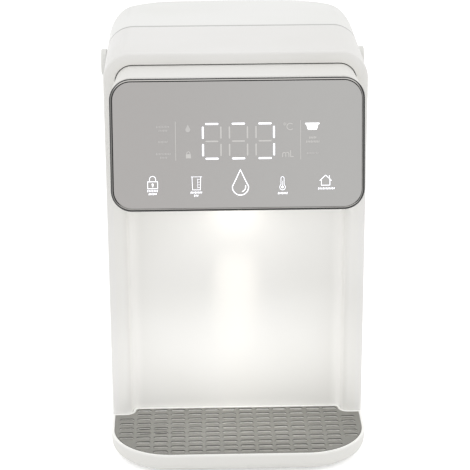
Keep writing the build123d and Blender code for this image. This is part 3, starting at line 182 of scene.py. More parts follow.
# What all of them share: how large the drifts, flecks and changes of sheen are, and how strong.
plasticPattern = {"drift": 9.0, "fleck": 260.0, "fleckShare": 0.2, "sheen": 45.0, "sheenSpread": 0.06,
                  "bump": 10, "bumpDistance": 0.04}

# Painted shade in the joints, in millimetres: the gaps are painted darker, standing in for the shade in
# them.
# The seam in front of the tank: how far its painted shade reaches to each side and how deep it goes in from
# the outside. The head's root: how far its painted shade reaches out of the front frame.
joint = {"half": 0.25, "dark": 0.9, "reach": 2.1, "corner": 20.0, "deepDark": 1.5, "deepEnd": 3.2,
         "shade": 0.66, "rootStart": -0.1, "rootEnd": 0.9, "rootColour": (96, 94, 91)}


def insetFrom(across, up, halfAcross, halfUp, corner):
    # How far a place lies inside a rectangle with round corners that is centred on nought.
    outAcross = (across.size() - (halfAcross - corner)).atLeast(0.0)
    outUp = (up.size() - (halfUp - corner)).atLeast(0.0)
    return corner - (outAcross * outAcross + outUp * outUp).maths("SQRT")


# Painted shade: the head's root and the seam before the tank lid are painted darker where shade falls in
# their gaps.
def paintedJointShade(place, slot, colour):
    if slot == "head":
        mask = place.along("Y").between(rim + joint["rootStart"] * mm, rim + joint["rootEnd"] * mm)
        return blend(mask, colour, srgb(*joint["rootColour"]))
    low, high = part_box("tank_lid")
    away = (place.along("Y") - (low.y - joint["half"] * mm)).size()
    inside = insetFrom(place.along("X"), place.along("Z"), high.x, high.z, joint["corner"] * mm)
    beside = 1.0 - away.between(joint["dark"] * mm, joint["reach"] * mm)
    outside = 1.0 - inside.between(joint["deepDark"] * mm, joint["deepEnd"] * mm)
    return blend(beside * outside, colour, dimmed(plasticLooks[slot]["tone"], joint["shade"]))


# Painted light and shade by height, in millimetres below the top: the tray's rim is painted lightest, a
# painted highlight, and its front darker. In the grille's slots the walls get painted shade under their edge
# and painted light further down, where the white tray would shine on them. The grille keeps its own colour
# at the top.
paintedHeightShading = {
    "tray": {"node": "drip_tray", "start": 0.0, "top": (250, 250, 247),
             "stops": ((0.7, (236, 235, 232)), (2.5, (228, 227, 223)))},
    "grille": {"node": "drip_grille", "start": 0.12, "top": None,
               "stops": ((0.2, (40, 39, 37)), (0.66, (46, 45, 43)), (0.8, (252, 251, 247)))},
}


def paintedLevelShading(place, slot, colour):
    shades = paintedHeightShading[slot]
    below = (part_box(shades["node"])[1].z - place.along("Z")) / mm
    start = shades["start"]
    # The tray's rim starts from a painted highlight colour.
    if shades["top"]:
        colour = srgb(*shades["top"])
    for depth, shade in shades["stops"]:
        colour = blend(below.between(start, depth), colour, srgb(*shade))
        start = depth
    return colour


# Painted light: the hollow corners of the cup bay are painted a little lighter than the rest of the front
# frame, to lift the shade that gathers in them.
bayCornerLight = {"rise": (70.0, 79.0), "fall": (84.0, 86.0), "depth": (1.0, 3.0), "colour": (246, 245, 242)}


def paintedBayCornerLight(place, colour):
    # The strip by the hollow corners is painted lighter, painted light where shade gathers.
    across = place.along("X").size() / mm
    deep = (place.along("Y") - rim) / mm
    strip = across.between(*bayCornerLight["rise"]) * (1.0 - across.between(*bayCornerLight["fall"]))
    return blend(strip * deep.between(*bayCornerLight["depth"]), colour, srgb(*bayCornerLight["colour"]))


def mouldedPlastic(name, look):
    material, flow, place = newMaterial(name)
    pattern = plasticPattern
    drift = noise(place, pattern["drift"], 2.0).between(0.35, 0.65)
    spots = noise(place, pattern["fleck"], 4.0) * pattern["fleckShare"]
    mixed = drift * (1 - pattern["fleckShare"]) + spots
    colour = blend(mixed, srgb(*look["colour"]), srgb(*look["tone"]))
    slot = name.split()[0]
    # Painted shade in the joints of the housing, the lid and the head.
    if slot in ("housing", "lid", "head"):
        colour = paintedJointShade(place, slot, colour)
    # Painted light and shade by height on the tray and the grille.
    if slot in ("tray", "grille"):
        colour = paintedLevelShading(place, slot, colour)
    # Painted light in the hollow corners of the cup bay.
    if slot == "front_frame":
        colour = paintedBayCornerLight(place, colour)
    scale, depth = look["grain"]
    grain = noise(place, scale, 2.0, 0.6)
    spread = pattern["sheenSpread"]
    roughness = look["roughness"] - spread / 2 + spread * noise(place, pattern["sheen"])
    finishMaterial(flow, Base_Color=colour, Roughness=roughness,
                   Normal=bump(grain, depth * pattern["bump"], pattern["bumpDistance"]))
    return material


# The dark moulded frame round the panel: polished black, with a painted bead highlight, a light line where a
# bead would catch the light, most at the top and least on the left. The highlight's places are millimetres
# in from the frame's edge, and the frame's four parts are told apart by their place across and up the panel
# from its middle.
bezelLook = {"colour": (30, 29, 29), "tone": (22, 22, 22), "roughness": 0.14, "coat": 0.3,
             "height": 93.4, "corner": 15.0, "topPart": (37.0, 45.0), "rightPart": (83.0, 88.0),
             "belowPart": (-45.0, -39.0), "beadHighlight": (214, 212, 208), "beadMiddle": 1.12, "beadHalf": 0.32,
             "beadSoft": 0.15, "beadShift": 0.66, "beadSpread": 0.06, "left": 0.28, "right": 0.5,
             "below": 0.85}


def bezelPaintedHighlight(place):
    # How strongly the painted bead highlight shows at a place on the frame.
    look = bezelLook
    glassLow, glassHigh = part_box("display_panel")
    middle = (glassLow + glassHigh) / 2
    leaning = (place.along("Y") - middle.y) * math.sin(panelTilt)
    up = (leaning + (place.along("Z") - middle.z) * math.cos(panelTilt)) / mm
    flat = place.along("X") / mm
    inset = insetFrom(flat, up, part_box("panel_bezel")[1].x / mm, look["height"] / 2, look["corner"])
    top = up.between(*look["topPart"])
    right = flat.between(*look["rightPart"])
    below = 1.0 - up.between(*look["belowPart"])
    shift = right.atLeast(below)
    fromBead = (inset - look["beadMiddle"] - shift * look["beadShift"]).size() - shift * look["beadSpread"]
    line = 1.0 - fromBead.between(look["beadHalf"] - look["beadSoft"], look["beadHalf"] + look["beadSoft"])
    sheen = look["left"] + top * (1.0 - look["left"]) + (1.0 - top) * right * (look["right"] - look["left"])
    return line * (sheen + (1.0 - top) * (1.0 - right) * below * (look["below"] - look["left"]))


def bezelPlastic():
    material, flow, place = newMaterial("bezel gloss")
    look = bezelLook
    colour = blend(noise(place, 14.0), srgb(*look["colour"]), srgb(*look["tone"]))
    # Painted highlight: the frame is painted lighter along its bead.
    colour = blend(bezelPaintedHighlight(place), colour, srgb(*look["beadHighlight"]))
    roughness = look["roughness"] + 0.08 * noise(place, 320.0, 2.0).between(0.45, 0.8)
    finishMaterial(flow, Base_Color=colour, Roughness=roughness, Coat_Weight=look["coat"],
                   Normal=bump(noise(place, 500.0, 2.0), 0.08, 0.03))
    return material


# The panel: a grey mirror coating behind glass, a little warmer to the left.
panelLook = {"left": (176, 173, 171), "right": (182, 181, 179), "cloud": 0.15, "roughness": 0.12,
             "coat": 0.15}


def panelGlass():
    material, flow, place = newMaterial("grey panel glass")
    look = panelLook
    low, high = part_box("display_panel")
    side = place.along("X").between(low.x, high.x) * (1 - look["cloud"])
    mixed = side + noise(place, 16.0, 2.0) * look["cloud"]
    colour = blend(mixed, srgb(*look["left"]), srgb(*look["right"]))
    roughness = look["roughness"] + 0.05 * noise(place, 60.0)
    finishMaterial(flow, Base_Color=colour, Roughness=roughness, Coat_Weight=look["coat"],
                   Normal=bump(noise(place, 35.0, 1.0), 0.02, 0.05))
    return material


# Frosted water tank: light passes, and the frost hides what is far behind it.
tankLook = {"colour": (224, 227, 229), "tone": (212, 216, 219), "roughness": 0.42, "frost": 0.1,
            "cover": 0.74}


def frostedTank():
    material, flow, place = newMaterial("frosted tank")
    look = tankLook
    drift = noise(place, 11.0, 2.0)
    frost = noise(place, 1800.0, 3.0, 0.7)
    colour = blend(drift, srgb(*look["colour"]), srgb(*look["tone"]))
    finishMaterial(flow, Base_Color=colour, Roughness=look["roughness"] + look["frost"] * frost,
                   Alpha=look["cover"] + 0.08 * drift, Normal=bump(frost, 0.35, 0.04))
    return material


# The lamp's milky window, lit from behind.
lensLook = {"colour": (250, 247, 238), "tone": (236, 232, 222), "glow": (255, 246, 226),
            "dimGlow": (255, 240, 214), "strength": 0.9}


def lampLens():
    material, flow, place = newMaterial("milky lamp lens")
    cloud = noise(place, 140.0)
    colour = blend(cloud, srgb(*lensLook["colour"]), srgb(*lensLook["tone"]))
    glow = blend(cloud * 0.5, srgb(*lensLook["glow"]), srgb(*lensLook["dimGlow"]))
    finishMaterial(flow, Base_Color=colour, Roughness=0.5, Emission_Color=glow,
                   Emission_Strength=lensLook["strength"])
    return material


# Metals: colour, roughness, and the scale of the drawing or turning marks along X, Y and Z.
metalLooks = {
    "spring": {"colour": (196, 196, 198), "roughness": 0.28, "marks": (60, 60, 2400), "depth": 0.25},
    "screw": {"colour": (186, 186, 184), "roughness": 0.34, "marks": (900, 900, 900), "depth": 0.25},
    "steel": {"colour": (196, 196, 195), "roughness": 0.30, "marks": (1600, 1600, 40), "depth": 0.2},
    "heater": {"colour": (205, 206, 208), "roughness": 0.40, "marks": (1400, 1400, 30), "depth": 0.35},
    "brass": {"colour": (206, 172, 98), "roughness": 0.30, "marks": (60, 60, 2200), "depth": 0.3},
    "motor": {"colour": (176, 177, 178), "roughness": 0.36, "marks": (40, 40, 1300), "depth": 0.25},
}


def brushedMetal(name, look):
    material, flow, place = newMaterial(name)
    lines = flow.add("ShaderNodeMapping", None, {"Vector": place, "Scale": look["marks"]})
    brushing = noise(lines, 1.0, 3.0, 0.6)
    stain = noise(place, 55.0, 4.0)
    dull = dimmed(look["colour"], 0.72)
    colour = blend(brushing * 0.35 + stain * 0.35, srgb(*look["colour"]), dull)
    finishMaterial(flow, Base_Color=colour, Metallic=1.0, Roughness=look["roughness"] + 0.14 * brushing,
                   Normal=bump(brushing, look["depth"], 0.05))
    return material


# Green lacquer over tracks, with tinned pads.
boardLook = {"tracks": 210.0, "pads": 330.0, "track": (46, 128, 78), "ground": (26, 92, 52),
             "pad": (196, 178, 128)}


def circuitBoard():
    material, flow, place = newMaterial("circuit board")
    look = boardLook
    tracks = flow.add("ShaderNodeTexVoronoi", {"feature": "DISTANCE_TO_EDGE", "distance": "MANHATTAN"},
                      {"Vector": place, "Scale": look["tracks"]}, out="Distance")
    gap = tracks.between(0.03, 0.08)
    pads = flow.add("ShaderNodeTexVoronoi", None, {"Vector": place, "Scale": look["pads"]}, out="Distance")
    pad = 1.0 - pads.between(0.14, 0.2)
    lacquer = blend(gap, srgb(*look["track"]), srgb(*look["ground"]))
    colour = blend(pad, lacquer, srgb(*look["pad"]))
    finishMaterial(flow, Base_Color=colour, Roughness=0.32 + 0.15 * gap, Metallic=pad * 0.8,
                   Normal=bump(gap, 0.3, 0.06))
    return material


# Grey flat cable with one groove between each pair of wires, their pitch in millimetres. The grooves are
# painted darker and the ridges lighter: painted shade and painted light over the bumped ridges.
ribbonLook = {"pitch": 1.27, "groove": (168, 168, 164), "ridge": (206, 206, 202)}


def ribbonCable():
    material, flow, place = newMaterial("flat cable")
    wave = (place.along("X") * (2 * math.pi / (ribbonLook["pitch"] * mm))).maths("SINE")
    ridge = wave.between(-1.0, 0.2)
    # Painted shade in the grooves and painted light on the ridges.
    colour = blend(ridge, srgb(*ribbonLook["groove"]), srgb(*ribbonLook["ridge"]))
    finishMaterial(flow, Base_Color=colour, Roughness=0.5 - 0.1 * ridge, Normal=bump(ridge, 0.6, 0.1))
    return material


# Ink or light behind the glass, a little uneven as real lit film is.
markLooks = {
    "lit marks": {"colour": (255, 255, 255), "tone": (250, 250, 255), "glow": 1.0},
    # The lit halo is painted glow: a pale sheet round the lit marks standing in for their spilled light.
    "lit halo": {"colour": (198, 198, 210), "tone": (194, 194, 207), "glow": 0.0},
    "unlit segments": {"colour": (213, 211, 208), "tone": (208, 206, 203), "glow": 0.0},
    "faint marks": {"colour": (204, 202, 200), "tone": (199, 197, 195), "glow": 0.0},
}


def markMaterial(name, look):
    material, flow, place = newMaterial(name)
    colour = blend(noise(place, 900.0, 2.0), srgb(*look["colour"]), srgb(*look["tone"]))
    finishMaterial(flow, Base_Color=colour, Roughness=0.3, Emission_Color=colour,
                   Emission_Strength=look["glow"])
    return material


print("materials")
materials = {slot: mouldedPlastic(slot + " plastic", look) for slot, look in plasticLooks.items()}
materials.update({slot: brushedMetal(slot + " metal", look) for slot, look in metalLooks.items()})
materials["bezel"] = bezelPlastic()
materials["panel_glass"] = panelGlass()
materials["tank"] = frostedTank()
materials["lamp_lens"] = lampLens()
materials["board"] = circuitBoard()
materials["ribbon"] = ribbonCable()
marks = {name: markMaterial(name, look) for name, look in markLooks.items()}

for node, piece in nodes.items():
    material = materials[slotOf[node]]
    for index in range(len(piece.material_slots)):
        piece.material_slots[index].material = material


def addPiece(name, mesh, body, material=None):
    piece = newObject(name, mesh)
    if material:
        mesh.materials.clear()
        mesh.materials.append(material)
    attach(piece, body)
    return piece


# Rounded edges: welded copies of the fixed pieces, with the width of their rounding in millimetres. Nought
# stands for pieces that are already round in the CAD.
edgeRounding = {
    "housing_shell": 0.0, "front_frame": 0.0, "head_shell": 0.0, "head_underside": 0.4, "tank_lid": 0.0,
    "tank_shell": 0.6, "tank_dock": 0.6, "drip_tray": 0.5, "tank_handle": 1.1, "panel_bezel": 0.6,
    "display_panel": 0.3, "spout_nozzle": 0.4, "lamp_lens": 0.3, "bottom_plate": 0.4, "rear_partition": 0.4,
    "dock_socket": 0.3, "handle_pins": 0.4, "inlet_gland": 0.5,
}
# Corners closer than the weld, in millimetres, are joined, and faces within the flat angle made one. Edges
# sharper than the angle are rounded in that many steps. Both angles are in degrees.
edgeShape = {"steps": 3, "angle": 34.0, "weld": 0.001, "flat": 0.4}


def weldedMesh(name, source):
    # The loose triangles of a mesh joined into whole faces.
    work = bmesh.new()
    rows = [tuple(corner.co) for corner in source.vertices]
    mesh = bpy.data.meshes.new(name)
    mesh.from_pydata(rows, [], [tuple(face.vertices) for face in source.polygons])
    work.from_mesh(mesh)
    bmesh.ops.remove_doubles(work, verts=work.verts, dist=edgeShape["weld"] * mm)
    flat = math.radians(edgeShape["flat"])
    bmesh.ops.dissolve_limit(work, angle_limit=flat, verts=work.verts, edges=work.edges)
    work.to_mesh(mesh)
    work.free()
    return mesh


def smoothCurves(mesh, angle):
    # Edges sharper than the angle, in degrees, stay sharp.
    mesh.polygons.foreach_set("use_smooth", [True] * len(mesh.polygons))
    mesh.set_sharp_from_angle(angle=math.radians(angle))


def roundEdges(piece, width):
    # With a width of nought the piece keeps its own edges, and only its curved faces are smoothed.
    smoothCurves(piece.data, edgeShape["angle"])
    if not width:
        return
    bevel = piece.modifiers.new("rounded edges", "BEVEL")
    bevel.width = width * mm
    bevel.segments = edgeShape["steps"]
    bevel.limit_method = "ANGLE"
    bevel.angle_limit = math.radians(edgeShape["angle"])
    bevel.use_clamp_overlap = False
    bevel.harden_normals = True
    bevel.miter_outer = "MITER_ARC"


def softened(node, width):
    mesh = weldedMesh(node + "_soft", nodes[node].data)
    piece = addPiece(node + "_soft", mesh, bodyOf[node], materials[slotOf[node]])
    roundEdges(piece, width)
    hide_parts(node)


print("rounded edges")
for node, width in edgeRounding.items():
    softened(node, width)


# Repeated shapes are laid out by geometry nodes, each tree with its named inputs and its finish.
def newTree(name, inputs):
    tree = bpy.data.node_groups.new(name, "GeometryNodeTree")
    tree.interface.new_socket("Geometry", in_out="OUTPUT", socket_type="NodeSocketGeometry")
    tree.interface.new_socket("Geometry", in_out="INPUT", socket_type="NodeSocketGeometry")
    for label, kind in {**inputs, "Finish": "Material"}.items():
        tree.interface.new_socket(label, in_out="INPUT", socket_type="NodeSocket" + kind)
    entry = tree.nodes.new("NodeGroupInput")
    given = {socket.name: Flow(tree, socket) for socket in entry.outputs if socket.name}
    return Flow(tree), given


def laidOut(points, shape, **turned):
    # A copy of the shape at every point.
    laid = points.add("GeometryNodeInstanceOnPoints", None, {"Points": points, "Instance": shape, **turned})
    return laid.add("GeometryNodeRealizeInstances", None, {"Geometry": laid})


def joined(flow, *parts):
    whole = flow.add("GeometryNodeJoinGeometry")
    for part in reversed(parts):
        flow.tree.links.new(part.socket, whole.socket.node.inputs[0])
    return whole


def finished(flow, shape, given):
    return flow.add("GeometryNodeSetMaterial", None, {"Geometry": shape, "Material": given["Finish"]})


def closeTree(flow, result):
    flow.add("NodeGroupOutput", None, {"Geometry": result})
    return flow.tree


def grown(name, mesh, tree, values):
    # The mesh that a tree makes from a start mesh and its named inputs.
    start = newObject(name + "_start", mesh)
    layout = start.modifiers.new("layout", "NODES")
    layout.node_group = tree
    for item in tree.interface.items_tree:
        if item.item_type == "SOCKET" and item.in_out == "INPUT" and item.name in values:
            layout[item.identifier] = values[item.name]
    made = bpy.data.meshes.new_from_object(start.evaluated_get(bpy.context.evaluated_depsgraph_get()))
    made.name = name
    start.modifiers.remove(layout)
    bpy.data.objects.remove(start)
    return made


def closeMesh(work, mesh):
    # Faces outwards, and the working mesh written back.
    bmesh.ops.recalc_face_normals(work, faces=work.faces)
    work.to_mesh(mesh)
    work.free()
    return mesh


def facedOutwards(mesh):
    work = bmesh.new()
    work.from_mesh(mesh)
    bmesh.ops.remove_doubles(work, verts=work.verts, dist=edgeShape["weld"] * mm)
    closeMesh(work, mesh)


def arc(across, up, radius, start, end, steps):
    # Points of an arc, counter-clockwise from start to end in degrees where the end is the larger.
    turns = [math.radians(start + (end - start) * step / steps) for step in range(steps + 1)]
    return [(across + radius * math.cos(turn), up + radius * math.sin(turn)) for turn in turns]


# Slotted grille of the drip tray, in millimetres; its outline follows the tray and the bay's S-shaped
# cheeks. Slots keep a margin from the round corners and stay clear of the cheeks.
grille = {"half": 92.7, "reach": 68.7, "corner": 42.7, "bayEdge": 85.0, "cheek": 7.7, "inner": 2.3,
          "bayDepth": 10.3, "edge": 5.0, "gap": 2.7, "thickness": 1.4, "columns": 14, "rows": 10,
          "pitchAcross": 12.9, "pitchDeep": 7.6, "firstRow": 4.2, "slotLength": 10.6, "slotWidth": 3.6,
          "margin": 0.45, "cheekSide": 6.0, "cheekFront": 6.0, "rounding": 0.22}
rimPlane = rim / mm


def grilleOutline():
    g = grille
    cornerDeep = rimPlane - g["reach"] + g["corner"]
    back = rimPlane + g["bayDepth"] - g["gap"]
    side = g["bayEdge"] - g["cheek"]
    right = arc(g["half"] - g["corner"], cornerDeep, g["corner"], 270, 360, 24)
    right += [(g["half"], rimPlane - g["gap"])]
    right += arc(g["bayEdge"], rimPlane + g["edge"], g["cheek"], 270, 180, 10)
    right += arc(side - g["inner"], back - g["inner"], g["inner"], 0, 90, 8)
    return right + [(-x, y) for x, y in reversed(right)]


def slotMiddles():
    g = grille
    cornerAcross = g["half"] - g["corner"]
    cornerDeep = rimPlane - g["reach"] + g["corner"]
    places = []
    for column in range(g["columns"]):
        x = (column - (g["columns"] - 1) / 2) * g["pitchAcross"]
        end = abs(x) + (g["slotLength"] - g["slotWidth"]) / 2
        reach = abs(x) + g["slotLength"] / 2
        for row in range(g["rows"]):
            y = rimPlane + g["firstRow"] - row * g["pitchDeep"]
            inCorner = end > cornerAcross and y < cornerDeep
            fromCorner = math.hypot(end - cornerAcross, y - cornerDeep) + g["slotWidth"] / 2
            tooFar = inCorner and fromCorner > g["corner"] - g["margin"]
            byCheek = reach > g["bayEdge"] - g["cheekSide"] and y > rimPlane - g["cheekFront"]
            if not tooFar and not byCheek:
                places.append((x, y))
    return places


def slottedPlateTree():
    sizes = dict.fromkeys(("Slot Length", "Slot Width", "Thickness", "Level"), "Float")
    flow, given = newTree("slotted plate", sizes)
    isSlot = flow.add("GeometryNodeInputNamedAttribute", {"data_type": "BOOLEAN"}, {"Name": "slot"})
    split = flow.add("GeometryNodeSeparateGeometry", {"domain": "POINT"},
                     {"Geometry": given["Geometry"], "Selection": isSlot})
    rest = Flow(flow.tree, split.socket.node.outputs[1])
    border = flow.add("GeometryNodeMeshToCurve", None, {0: rest})
    bar = flow.add("GeometryNodeCurvePrimitiveQuadrilateral", None,
                   {"Width": given["Slot Length"], "Height": given["Slot Width"]})
    slot = flow.add("GeometryNodeFilletCurve", {"mode": "POLY"},
                    {"Curve": bar, "Count": 5, "Radius": given["Slot Width"] * 0.499})
    outlines = joined(flow, border, laidOut(split, slot))
    plate = flow.add("GeometryNodeFillCurve", {"mode": "TRIANGLES"}, {"Curve": outlines})
    lift = flow.add("ShaderNodeCombineXYZ", None, {"Z": given["Level"]})
    top = flow.add("GeometryNodeSetPosition", None, {"Geometry": plate, "Offset": lift})
    walls = flow.add("GeometryNodeExtrudeMesh", {"mode": "FACES"},
                     {"Mesh": top, "Offset Scale": given["Thickness"] * -1.0, "Individual": False})
    whole = joined(flow, top, flow.add("GeometryNodeFlipFaces", None, {"Mesh": walls}))
    return closeTree(flow, finished(flow, whole, given))


def dripGrille():
    outline, middles = grilleOutline(), slotMiddles()
    mesh = bpy.data.meshes.new("grille start")
    count = len(outline)
    mesh.from_pydata([(x * mm, y * mm, 0.0) for x, y in outline + middles],
                     [(index, (index + 1) % count) for index in range(count)], [])
    flag = mesh.attributes.new("slot", "BOOLEAN", "POINT")
    flag.data.foreach_set("value", [False] * count + [True] * len(middles))
    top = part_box("drip_grille")[1].z
    made = grown("drip_grille_slotted", mesh, slottedPlateTree(), {
        "Slot Length": grille["slotLength"] * mm, "Slot Width": grille["slotWidth"] * mm,
        "Thickness": grille["thickness"] * mm, "Level": top, "Finish": materials["grille"]})
    facedOutwards(made)
    piece = addPiece("drip_grille_slotted", made, bodyOf["drip_grille"], materials["grille"])
    roundEdges(piece, grille["rounding"])
    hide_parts("drip_grille")


# Ribs round the handle's grip, in millimetres; its edges over the sharp angle, in degrees, stay sharp.
gripRibs = {"count": 27, "pitch": 3.1, "radius": 7.9, "thickness": 0.42, "sharp": 30}


def ribTree():
    sizes = dict.fromkeys(("Pitch", "Radius", "Thickness"), "Float")
    flow, given = newTree("grip ribs", {"Count": "Int", **sizes, "Start": "Vector"})
    step = flow.add("ShaderNodeCombineXYZ", None, {"X": given["Pitch"]})
    line = flow.add("GeometryNodeMeshLine", {"mode": "OFFSET"},
                    {"Count": given["Count"], "Start Location": given["Start"], "Offset": step})
    ring = flow.add("GeometryNodeCurvePrimitiveCircle", {"mode": "RADIUS"},
                    {"Resolution": 48, "Radius": given["Radius"]})
    section = flow.add("GeometryNodeCurvePrimitiveCircle", {"mode": "RADIUS"},
                       {"Resolution": 8, "Radius": given["Thickness"]})
    rib = flow.add("GeometryNodeCurveToMesh", None, {"Curve": ring, "Profile Curve": section})
    ribs = laidOut(line, rib, Rotation=(0.0, math.pi / 2, 0.0))
    smooth = flow.add("GeometryNodeSetShadeSmooth", None, {"Geometry": ribs})
    return closeTree(flow, joined(flow, given["Geometry"], finished(flow, smooth, given)))


def ribbedGrip():
    g = gripRibs
    low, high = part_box("handle_grip")
    middle = (low + high) / 2
    first = middle.x - g["pitch"] * mm * (g["count"] - 1) / 2
    core = weldedMesh("grip core", nodes["handle_grip"].data)
    smoothCurves(core, g["sharp"])
    core.materials.append(materials["grip"])
    made = grown("handle_grip_ribbed", core, ribTree(), {
        "Count": g["count"], "Pitch": g["pitch"] * mm, "Radius": g["radius"] * mm,
        "Thickness": g["thickness"] * mm, "Start": (first, middle.y, middle.z), "Finish": materials["grip"]})
    piece = addPiece("handle_grip_ribbed", made, bodyOf["handle_grip"])
    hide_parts("handle_grip")


# Screws with a cross recess and a thread, in millimetres from the head's face: the head is given as radii
# and heights, and the thread ends before the point does.
screw = {"head": ((2.35, 0.0), (2.7, -0.28), (2.8, -0.5), (2.8, -1.5)), "shank": 1.5, "root": 1.25,
         "pitch": 0.9, "crest": 0.25, "flank": 0.25, "threadEnd": 2.0, "point": 1.2, "tip": 0.15,
         "recess": 0.95, "taper": 0.75, "arm": 1.55, "armWidth": 0.55, "segments": 20, "sharp": 35}


def screwMesh(name, length):
    work = bmesh.new()
    s = screw
    profile = list(s["head"])
    level = profile[-1][1]
    while level > s["threadEnd"] - length:
        foot = level - s["crest"] - s["flank"]
        profile += [(s["shank"], level), (s["shank"], level - s["crest"]), (s["root"], foot)]
        level -= s["pitch"]
    profile += [(s["root"], s["point"] - length), (s["tip"], -length)]
    rings = []
    for radius, height in profile:
        rings.append([work.verts.new((x * mm, y * mm, height * mm))
                      for x, y in arc(0, 0, radius, 0, 360, s["segments"])[:-1]])
    for upper, lower in zip(rings, rings[1:]):
        for index in range(s["segments"]):
            after = (index + 1) % s["segments"]
            work.faces.new((upper[index], lower[index], lower[after], upper[after]))
    work.faces.new(list(reversed(rings[-1])))
    arm, thin = s["arm"], s["armWidth"] / 2
    cross = [(arm, -thin), (arm, thin), (thin, thin), (thin, arm), (-thin, arm), (-thin, thin),
             (-arm, thin), (-arm, -thin), (-thin, -thin), (-thin, -arm), (thin, -arm), (thin, -thin)]
    mouth = [work.verts.new((x * mm, y * mm, 0)) for x, y in cross]
    inner = s["taper"] * mm
    floor = [work.verts.new((x * inner, y * inner, -s["recess"] * mm)) for x, y in cross]
    for index in range(len(cross)):
        after = (index + 1) % len(cross)
        work.faces.new((mouth[index], floor[index], floor[after], mouth[after]))
    work.faces.new(floor)
    borders = [edge for edge in work.edges if edge.is_boundary]
    bmesh.ops.triangle_fill(work, edges=borders, use_beauty=True)
    return closeMesh(work, bpy.data.meshes.new(name))


def screwTree():
    flow, given = newTree("screws", {"Screw": "Object", "Facing": "Vector", "Seed": "Int"})
    shape = flow.add("GeometryNodeObjectInfo", None, {"Object": given["Screw"]}, out="Geometry")
    laid = flow.add("GeometryNodeInstanceOnPoints", None,
                    {"Points": given["Geometry"], "Instance": shape, "Rotation": given["Facing"]})
    spin = flow.add("FunctionNodeRandomValue", {"data_type": "FLOAT"},
                    {"Min": 0.0, "Max": math.pi, "Seed": given["Seed"]}, out=1)
    turn = flow.add("ShaderNodeCombineXYZ", None, {"Z": spin})
    turned = flow.add("GeometryNodeRotateInstances", None,
                      {"Instances": laid, "Rotation": turn, "Local Space": True})
    real = flow.add("GeometryNodeRealizeInstances", None, {"Geometry": turned})
    return closeTree(flow, finished(flow, real, given))


def screwSet(node, length, facing, seed):
    # One screw for each of the node's solids, its head's face at the solid's outer end.
    work = bmesh.new()
    work.from_mesh(weldedMesh(node + " welded", nodes[node].data))
    waiting = set(work.verts)
    places = []
    while waiting:
        group, edge = set(), [waiting.pop()]
        while edge:
            corner = edge.pop()
            group.add(corner)
            near = {line.other_vert(corner) for line in corner.link_edges} & waiting
            waiting -= near
            edge += near
        low = Vector([min(corner.co[axis] for corner in group) for axis in range(3)])
        high = Vector([max(corner.co[axis] for corner in group) for axis in range(3)])
        middle = (low + high) / 2
        places.append((middle.x, middle.y, low.z) if facing == "down" else (middle.x, high.y, middle.z))
    work.free()
    # A set has no order of its own, and the order decides how far each screw is turned.
    places.sort(key=lambda place: [round(part / mm, 1) for part in place])
    start = bpy.data.meshes.new(node + " places")
    start.from_pydata(places, [], [])
    pattern = newObject(node + " pattern", screwMesh(node + " one", length))
    turns = {"down": (math.pi, 0.0, 0.0), "back": (-math.pi / 2, 0.0, 0.0)}
    made = grown(node + "_crossed", start, screwTree(), {
        "Screw": pattern, "Facing": turns[facing], "Seed": seed, "Finish": materials["screw"]})
    bpy.data.objects.remove(pattern)
    piece = addPiece(node + "_crossed", made, bodyOf[node], materials["screw"])
    smoothCurves(made, screw["sharp"])
    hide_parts(node)


print("grille, ribs and screws")
dripGrille()
ribbedGrip()
screwSet("bottom_screws", 11.9, "down", 3)
screwSet("partition_screws", 10.5, "back", 5)


# Control panel marks. Places are across and up the panel from its middle, in millimetres. The halo, a
# painted glow of light round the lit marks, is how much wider than its mark a halo is.
panel = {"glass": 2.0, "markLift": 0.03, "markThickness": 0.05, "halo": 0.3}
panelOutward = Vector((0, -math.cos(panelTilt), math.sin(panelTilt)))
panelUpward = Vector((0, math.sin(panelTilt), math.cos(panelTilt)))
panelLow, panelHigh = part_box("display_panel")
panelMiddle = (panelLow + panelHigh) / 2 + panelOutward * panel["glass"] * mm / 2


def onPanel(across, up, lift):
    place = panelMiddle + panelUpward * (up * mm) + panelOutward * (lift * mm)
    return place + Vector((across * mm, 0, 0))


def strokeSides(points, width, closed):
    # The two edges of a stroke of even width along a line of points.
    count = len(points)
    sides = []
    for index, (x, y) in enumerate(points):
        ways = []
        if index or closed:
            ways.append((Vector((x, y)) - Vector(points[index - 1])).normalized())
        if index + 1 < count or closed:
            ways.append((Vector(points[(index + 1) % count]) - Vector((x, y))).normalized())
        way = sum(ways, Vector((0, 0))).normalized()
        across = Vector((-way.y, way.x))
        across *= width / 2 / max(0.5, across.dot(Vector((-ways[0].y, ways[0].x))))
        sides.append(((x + across.x, y + across.y), (x - across.x, y - across.y)))
    return sides


